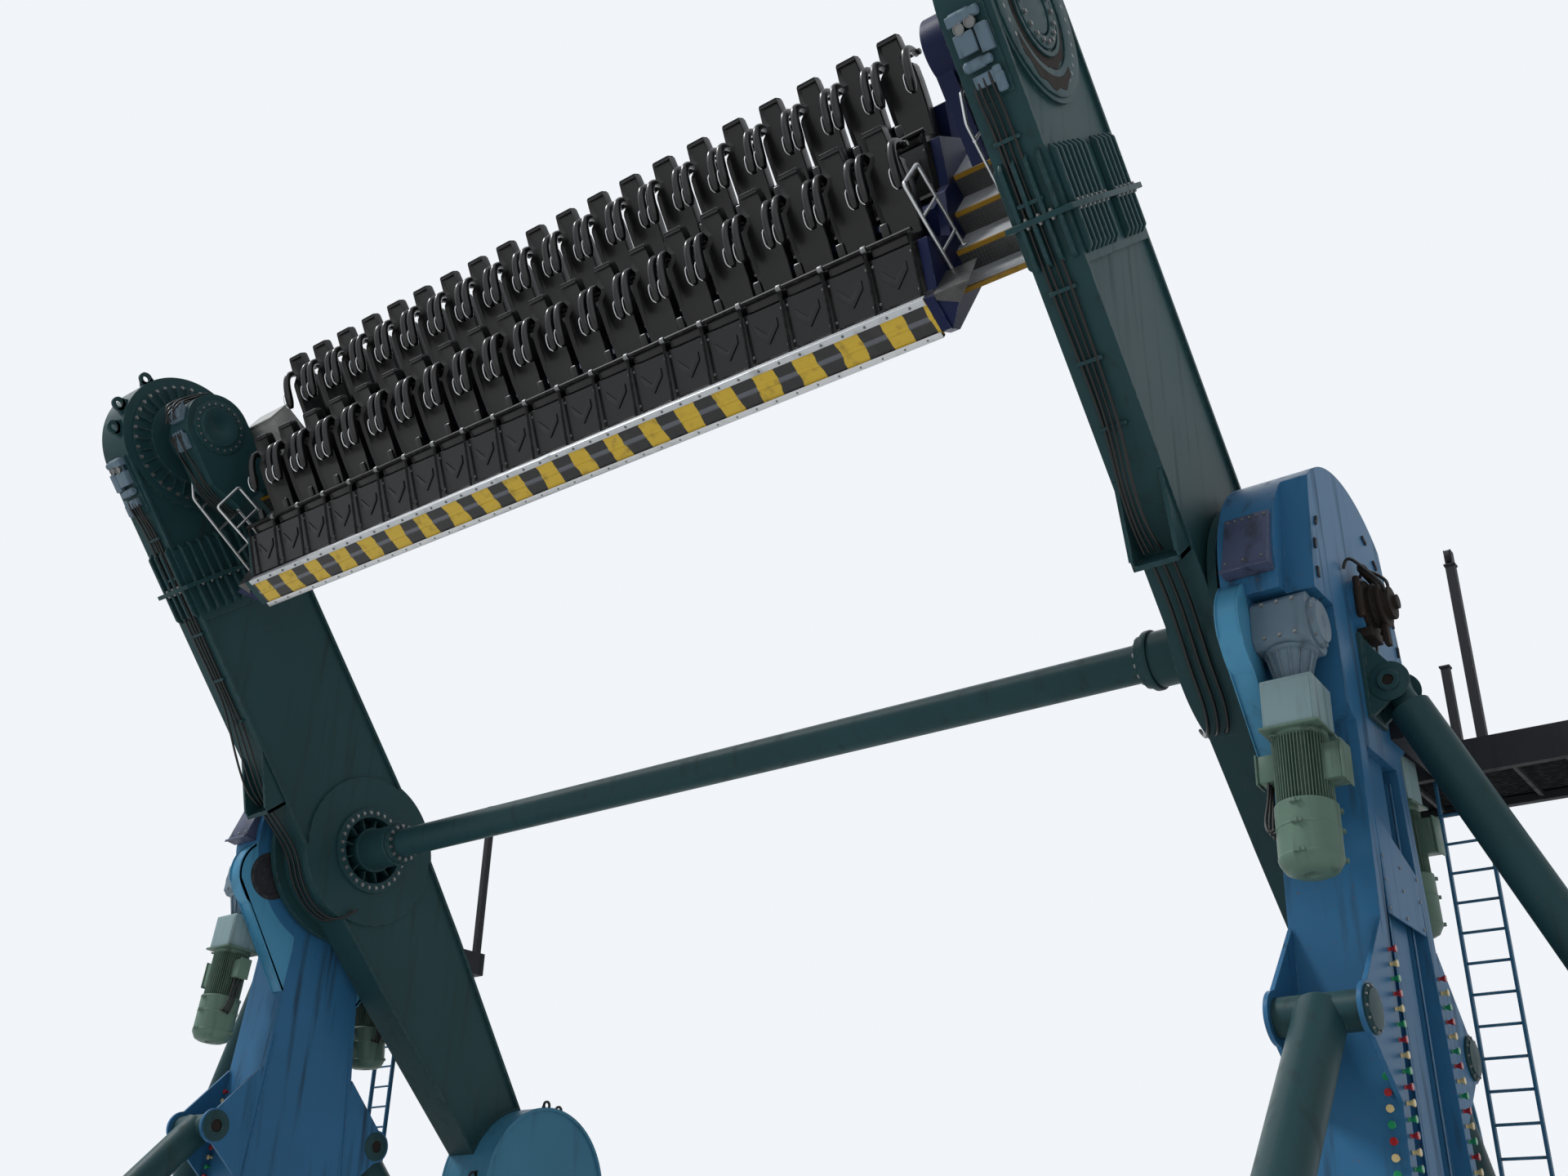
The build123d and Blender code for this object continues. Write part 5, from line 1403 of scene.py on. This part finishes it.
for x in (mid_x - trough_half, mid_x + trough_half - 0.025):
    trough.append(soften(plate("cheek", shifted(cheek, 0, trough_back), x, x + 0.025), 0.004, 1))
    rim = [(trough_front, trough_lip), (edge_y, trough_top), (edge_y, trough_top + 0.012),
           (trough_front - 0.006, trough_lip + 0.008)]
    trough.append(plate("rim", shifted(rim, 0, trough_back), x - 0.01, x + 0.035))
trough.append(soften(bar("bottom", (mid_x - trough_half, trough_front, trough_low + trough_back),
                         (mid_x + trough_half, edge_y, trough_low + 0.05 + trough_back)), 0.004, 1))
fittings = join("arm_fittings", crown_eyes + [mounting] + trough)
settle_pair(placed(fittings, crown_space), "swing_arms", "arm_green", ["arm_fittings"])
on_arms("valves", blocks + filters, crown_space, "gearbox_grey")
on_arms("dials", dials, crown_space, bolt_finish)

# %% Hoses down the arm
edge_hoses = []
for index, x in enumerate((-0.13, -0.08, -0.02, 0.05)):
    start = -0.72 + 0.03 * index
    near = edge_y - 0.03 - 0.008 * (index % 2)
    line = [(mid_x + x, edge_y - 0.08, start + 0.12), (mid_x + x, edge_y - 0.1, start),
            (mid_x + x, near, start - 0.25)]
    sway = [(level, 0.012 * math.sin(level * 2.1 + index)) for level in (1.5, 2.2, 2.9, 3.6)]
    line += [(mid_x + x + aside, near, -level) for level, aside in sway]
    line += [(mid_x + x, near - 0.03 * index, -4.0), (mid_x + x - 0.03, edge_y - 0.12 - 0.05 * index, -4.5),
             (mid_x + x - 0.02, edge_y - 0.2 - 0.04 * index, -4.95), (mid_x + x, edge_y - 0.2, -5.15)]
    edge_hoses.append(hose("hose", line, 0.016 - 0.002 * (index % 3), 2))
for index in range(3):
    x = mid_x - 0.1 + 0.1 * index
    line = [(x, edge_y - 0.16, -5.28), (x, edge_y - 0.1, -5.6), (x - 0.02, edge_y - 0.09, -6.0),
            (x, edge_y - 0.2, -6.35), (x, edge_y - 0.19, -6.8), (x - 0.15, edge_y - 0.05, -7.15),
            (x - 0.3, edge_y + 0.25, -7.1)]
    edge_hoses.append(hose("hose", line, 0.018, 2))
clamp_bars = [soften(bar("clamp", (mid_x - 0.17, edge_y - 0.05, -level), (mid_x + 0.1, edge_y, 0.04 - level)),
                     0.006, 1) for level in (1.15, 1.75, 2.6, 3.3, 3.95)]
on_arms("arm_hoses", edge_hoses, crown_space, rubber)
on_arms("hose_clamps", clamp_bars, crown_space, "arm_green")
print(len(edge_hoses), "hoses on each arm")

# %% [markdown]
# ## The hub's inner face
# Where the cross tube enters the arm there is a raised ring, an opening with gussets in it
# and a clamp flange. The gussets are plates copied round the axis. The counterweight below
# has shackle eyes on its inner face and a raised rim round each face.

# %% Hub
gusset_outline = [(0.03, 0.3), (0.22, 0.3), (0.1, 0.475), (0.03, 0.475)]
hub_gusset = placed(plate("gusset", gusset_outline, -0.012, 0.012, "Y"), at(arm_inner))
hub_gussets = repeat("hub_gussets", hub_gusset, [turn(index * 30 + 15, "X") for index in range(12)])
settle_pair(placed(hub_gussets, arm_space), "swing_arms", "arm_green")
bands = []
for x, reach in ((arm_inner - 0.66, 0.322), (arm_inner - 0.1, 0.33)):
    profile = [(0.294, 0), (reach - 0.004, 0), (reach, 0.01), (reach, 0.06), (reach - 0.004, 0.07),
               (0.294, 0.07)]
    bands.append(placed(turned("band", profile, "X", 40), at(x)))
on_arms("collar_bands", bands, arm_space, "arm_green")
weight_reach = 5.85
weight_inner, weight_outer = 6.17, 7.15
weight_space = arm_space @ at(0, 0, -weight_reach)
shackles = [placed(lifting_eye(0.075, 0.042, 0.026, 0.15), at(arm_inner - 0.2) @ turn(angle, "X")
                   @ at(0, 0, 1.225)) for angle in (44, 56, -44, -56)]
on_arms("shackle_eyes", shackles, weight_space, finishes["platform_dark"])
rim_profile = rectangle(1.19, -0.006, 1.236, 0.03)
rims = [placed(turned("rim", rim_profile, "X", 72), at(x)) for x in (weight_inner, weight_outer - 0.024)]
on_arms("weight_rims", rims, weight_space, "counterweight_blue")
print("hub and counterweight ready")

# %% [markdown]
# ## The tower heads
# A bolted hatch closes the front of each head, thin lips run along the pinion covers' edges,
# and the oil joint stands on the hub with its clamps round it. The lips follow the covers:
# an arc about the pinion, then a straight run down to the column.

# %% Hatches and lips
head_radius = 1.45
ear_radius = 0.52
cover_foot = (0.66, -2.1)


def cover_edge(offset):
    """The pinion cover's outer edge as (y, z) points about the hub, moved outwards by an offset."""
    angles = [math.radians(50 - 8 * step) for step in range(9)]
    arc = [(pinion_y + (ear_radius + offset) * math.cos(angle),
            pinion_z + (ear_radius + offset) * math.sin(angle)) for angle in angles]
    run = Vector((cover_foot[0] - arc[-1][0], cover_foot[1] - arc[-1][1])).normalized()
    return arc + [(cover_foot[0] - run.y * offset, cover_foot[1] + run.x * offset)]


def cover_lips(side):
    """Two thin lips, one on each edge of a pinion cover, on the front (-1) or the back."""
    edge = cover_edge(0.018) + cover_edge(-0.03)[::-1]
    edge = [(side * y, z) for y, z in edge]
    return [plate("lip", edge, x, x + 0.012) for x in (tower_inner, tower_inner + 0.212)]


lips = placed(join("cover_lips", cover_lips(-1) + cover_lips(1)), hub_space)
settle_pair(lips, "root", "cover_blue")

pinion_rings = [(0, 0), (0.34, 0), (0.34, 0.006), (0.31, 0.006), (0.31, 0.015), (0.27, 0.015), (0.27, 0.003),
                (0.15, 0.003), (0.15, 0.015), (0.05, 0.015), (0.05, 0.008), (0, 0.008)]
caps = [placed(turned("cap", pinion_rings, "X", 40), at(tower_inner, side * pinion_y, pinion_z)
               @ turn(180, "Z")) for side in (-1, 1)]
on_towers("pinion_caps", caps, finishes["platform_dark"], hub_space)

hatch_place = hub_space @ turn(-9, "X") @ at(0, -head_radius, 0)
hatch_face = [(0.04, 0.36), (-0.014, 0.36), (-0.15, -0.3), (0.04, -0.3)]
hatch = soften(plate("hatch", hatch_face, tower_inner + 0.09, tower_inner + 0.52), 0.006, 2)
lip_face = [(0.0, -0.3), (-0.175, -0.3), (-0.18, -0.335), (-0.165, -0.335), (-0.16, -0.315), (0.0, -0.315)]
hatch_lip = soften(plate("lip", lip_face, tower_inner + 0.075, tower_inner + 0.535), 0.002, 1)
hatch_finish = paint("hatch_violet", shade(66, 74, 98), 0.8, 0.36, 0.8)
settle_pair(placed(join("head_hatches", [hatch, hatch_lip]), hatch_place), "root", hatch_finish)
hatch_slope = math.degrees(math.atan2(0.136, 0.66))
heads = [hatch_place @ at(tower_inner + 0.13 + 0.07 * index, -0.025, 0.31) @ turn(90 - hatch_slope, "X")
         for index in range(6)]
heads += [hatch_place @ at(tower_inner + 0.13 + 0.17 * index, -0.135, -0.225) @ turn(90 - hatch_slope, "X")
          for index in range(3)]
settle_pair(repeat("hatch_bolts", bolt_head(0.012, 0.012), heads), "root", bolt_finish)
print("hatches and lips ready")

# %% Oil joint, clips and pin bosses
drum_steps = [(0, 0), (0.27, 0), (0.27, 0.03), (0.2, 0.04), (0.2, 0.07), (0.225, 0.075), (0.225, 0.1),
              (0.2, 0.105), (0.2, 0.14), (0.225, 0.145), (0.225, 0.17), (0.16, 0.18), (0.16, 0.24),
              (0.07, 0.25), (0.07, 0.29), (0, 0.29)]
drum = placed(turned("drum", drum_steps, "X", 36), at(tower_outer + 0.088))
arm_bar = soften(bar("bar", (tower_outer + 0.2, -0.05, -0.42), (tower_outer + 0.25, 0.05, -0.1)), 0.008, 1)
block = soften(bar("block", (tower_outer, -0.16, -0.34), (tower_outer + 0.14, 0.16, -0.24)), 0.01, 2)
shaft = cylinder_along("Y", 0.045, 0.62, tower_outer + 0.16, -0.31, 0.3)
rods = [cylinder_along("Z", 0.04, 0.42, tower_outer + 0.1, y, -0.2) for y in (-0.3, 0.3, 0.38)]
joint = join("oil_joints", [drum, arm_bar, block, shaft] + rods)
settle_pair(placed(joint, hub_space), "root", rusty)
unions = []
for index, (y, z) in enumerate(((-0.17, 0.1), (0.0, 0.2), (0.16, 0.12), (0.1, -0.15))):
    line = [(0.28, y * 0.5, z * 0.5), (0.33, y, z), (0.22, y * 2, z + 0.14),
            (0.06, y * 2.3, z + 0.34 - 0.1 * index), (0.02, y * 2.4 + 0.05, z + 0.2 - 0.16 * index)]
    unions.append(hose("hose", [(tower_outer + x, y, z) for x, y, z in line], 0.016, 2))
on_towers("joint_hoses", unions, rubber, hub_space)
clip_angles = (28, 44, 60, 76, 92, -60, -76, -92)
clips = [hub_space @ turn(-angle, "X") @ at(tower_outer, 0, 1.12) for angle in clip_angles]
clip = soften(bar("clip", (0, -0.055, -0.02), (0.02, 0.055, 0.02)), 0.004, 1)
settle_pair(repeat("head_clips", clip, clips), "root", finishes["platform_dark"])

side_pin_x, side_pin_z = tower_outer + 0.22, hub.z - 0.84
boss_profile = [(0.055, 0), (0.1, 0), (0.105, 0.008), (0.105, 0.03), (0.095, 0.038), (0.055, 0.038)]
disc_profile = [(0, 0), (0.19, 0), (0.19, 0.01), (0.18, 0.014), (0, 0.014)]
pin_profile = rectangle(0, 0, 0.054, 0.016)
bosses, pins = [], []
for side in (-1, 1):
    face = at(side_pin_x, side * 0.17, side_pin_z) @ turn(90 - 90 * side, "Z")
    bosses.append(placed(turned("disc", disc_profile, "Y", 40), face))
    bosses.append(placed(turned("boss", boss_profile, "Y", 32), face @ at(0, 0.01, 0)))
    pins.append(placed(turned("pin", pin_profile, "Y", 24), face @ at(0, 0.012, 0)))
on_towers("pin_bosses", bosses, "arm_green")
on_towers("pin_ends", pins, rusty)
print("oil joints and pins ready")

# %% [markdown]
# ## Braces, column and feet
# Flanged collars hold the braces' upper pins, folded rails and a cover plate run up the open
# channel of the column, and every base plate is held down by studs with nuts. A nut, its
# washer and the stud's end are one turned profile of six sides.

# %% Collars, rails and anchor studs
collar_profile = [(0, 0), (0.2, 0), (0.2, 0.02), (0.165, 0.026), (0.165, 0.04), (0.06, 0.05), (0, 0.05)]
collars, collar_bolts = [], []
brace_pin_y, brace_pin_z = 1.35, 5.6
for side in (-1, 1):
    collars.append(placed(turned("collar", collar_profile, "X", 40),
                          at(tower_outer, side * brace_pin_y, brace_pin_z)))
    collar_bolts += circle_places(at(0, side * brace_pin_y, brace_pin_z), tower_outer + 0.02, 0.183, 12)
ring_profile = [(0.085, 0), (0.2, 0), (0.2, 0.008), (0.19, 0.014), (0.11, 0.014), (0.105, 0.024),
                (0.085, 0.024)]
pin_end = rectangle(0, 0, 0.084, 0.006)
dark_ends = []
for side in (-1, 1):
    inner_face = at(tower_inner, side * brace_pin_y, brace_pin_z) @ turn(180, "Z")
    collars.append(placed(turned("ring", ring_profile, "X", 36), inner_face))
    dark_ends.append(placed(turned("pin", pin_end, "X", 24), inner_face))
on_towers("brace_pin_ends", dark_ends, rusty)
on_towers("brace_collars", collars, "arm_green")
settle_pair(repeat("collar_bolts", bolt_head(0.012, 0.014), collar_bolts), "root", bolt_finish)

channel_x = tower_outer - 0.15
rail_low, rail_high = 0.5, 7.95
rails = []
# A thin web on each side, then the return folded outwards from it.
for width, front, edge in ((0.015, 0, 0.003), (0.055, 0.09, 0.002)):
    for side in (-1, 1):
        outline = rectangle(side * 0.29, rail_low, side * (0.29 + width), rail_high)
        rails.append(soften(plate("rail", outline, channel_x + front, channel_x + 0.1), edge, 1))
crossing = soften(plate("crossing", [(-0.5, 7.46), (-0.5, 6.55), (0.52, 6.55), (0.5, 7.1)],
                        tower_outer - 0.012, tower_outer + 0.004), 0.003, 1)
on_towers("column_rails", rails + [crossing], "tower_blue")
edge_high, edge_low = 6.9, 0.4
edge_points = ((edge_high, 0.07), (edge_low, 0.07), (edge_low, 0.05), (edge_high, 0.05))
seams = []
for side in (-1, 1):
    inner_edge = [(side * (tower_half(z) - inset), z) for z, inset in edge_points]
    seams.append(plate("edge", inner_edge, tower_inner - 0.014, tower_inner))
for z in (4.85, 2.9, 1.1):
    half = tower_half(z) - 0.07
    seams.append(bar("seam", (tower_inner - 0.005, -half, z), (tower_inner, half, z + 0.014)))
on_towers("column_seams", seams, "tower_blue")
rivets = [at(tower_outer + 0.004, y, z) @ turn(90, "Y") for y in (-0.47, 0, 0.47) for z in (6.6, 6.85, 7.06)]
settle_pair(repeat("column_rivets", bolt_head(0.014, 0.01), rivets), "root", bolt_finish)

nut_profile = [(0, 0), (0.052, 0), (0.052, 0.008), (0.038, 0.008), (0.038, 0.04), (0.02, 0.042),
               (0.02, 0.085), (0, 0.085)]
brace_foot_y, side_foot_reach = 6.15, 3.85
stud_offsets = (-0.36, 0.36)
base_thick = 0.06
middle_x = (tower_inner + tower_outer) / 2
foot_centres = [(middle_x, -brace_foot_y), (middle_x, brace_foot_y), (tower_outer + side_foot_reach, 0)]
studs = [at(x + dx, y + dy, base_thick) for x, y in foot_centres for dx in stud_offsets
         for dy in stud_offsets]
studs += [at(x, y, base_thick) for x in (tower_inner - 0.16, tower_outer + 0.16) for y in (-1.45, 1.45)]
settle_pair(repeat("anchor_nuts", turned("nut", nut_profile, "Z", 6), studs), "root", bolt_finish)
print(len(studs), "anchor studs under each tower")

# %% Platform underside
deck_below_hub, deck_depth = 0.85, 0.23
deck_low = hub.z - deck_below_hub - deck_depth
grating, ties = [], []
for y in [1.86 + 0.05 * index for index in range(24)]:
    grating.append(bar("bar", (tower_inner + 0.14, y, deck_low - 0.035),
                       (tower_inner + 2.6, y + 0.006, deck_low)))
for x in [tower_inner + 0.5 + 0.5 * index for index in range(5)]:
    ties.append(bar("tie", (x, 1.84, deck_low - 0.09), (x + 0.04, 3.01, deck_low - 0.036)))
on_towers("platform_grating", grating + ties, "platform_dark")
print(len(grating), "grating bars")

# %% [markdown]
# ## Motor fittings
# Small things finish the drives: a wide flange under each coupling box, clamps and lifting
# eyes on the cowls, and three short cables that loop from a terminal box into the motor.

# %% Flanges, clamps and cables
def drive_fittings():
    """The flange, clamps and lifting eyes of one drive, in the drive's own space."""
    wide = 0.268
    flange = soften(bar("flange", (-wide, -wide, coupling_low - 0.014), (wide, wide, coupling_low + 0.012)),
                    0.004, 1)
    parts = [flange]
    for level in (fins_low - 0.03, fins_low - 0.21, motor_low + 0.13):
        for angle in (0, 120, 240):
            # The band of the clamp, then the lug on it.
            for half, out, inwards, tall, edge in ((0.05, 0.02, 0.01, 0.012, 0.004),
                                                   (0.012, 0.035, 0, 0.018, 0.003)):
                piece = bar("clamp", (-half, -motor_radius - out, level - tall),
                            (half, -motor_radius + inwards, level + tall))
                parts.append(placed(soften(piece, edge, 1), turn(angle, "Z")))
    for angle in (-40, 40, 180):
        eye = lifting_eye(0.032, 0.016, 0.012, 0.07)
        parts.append(placed(eye, turn(angle, "Z") @ at(0, -0.22, coupling_low - 0.06) @ turn(90, "X")
                            @ turn(90, "Z")))
    return join("fittings", parts)


def drive_cables():
    """Three cables from the left terminal box round into the motor."""
    low = terminal_top - left_terminal_height
    cables = []
    for index, y in enumerate((-0.05, 0, 0.05)):
        line = [(-0.29, y, low + 0.02), (-0.3, y - 0.01, low - 0.16),
                (-0.34 + 0.02 * index, y - 0.04, low - 0.36), (-0.3, y - 0.08, low - 0.5 - 0.02 * index),
                (-0.25, y - 0.07, low - 0.46)]
        cables.append(hose("cable", line, 0.014, 2))
    return join("cables", cables)


on_drives("drive_fittings", drive_fittings, "motor_green")
on_drives("drive_cables", drive_cables, rubber)
print("drives finished")
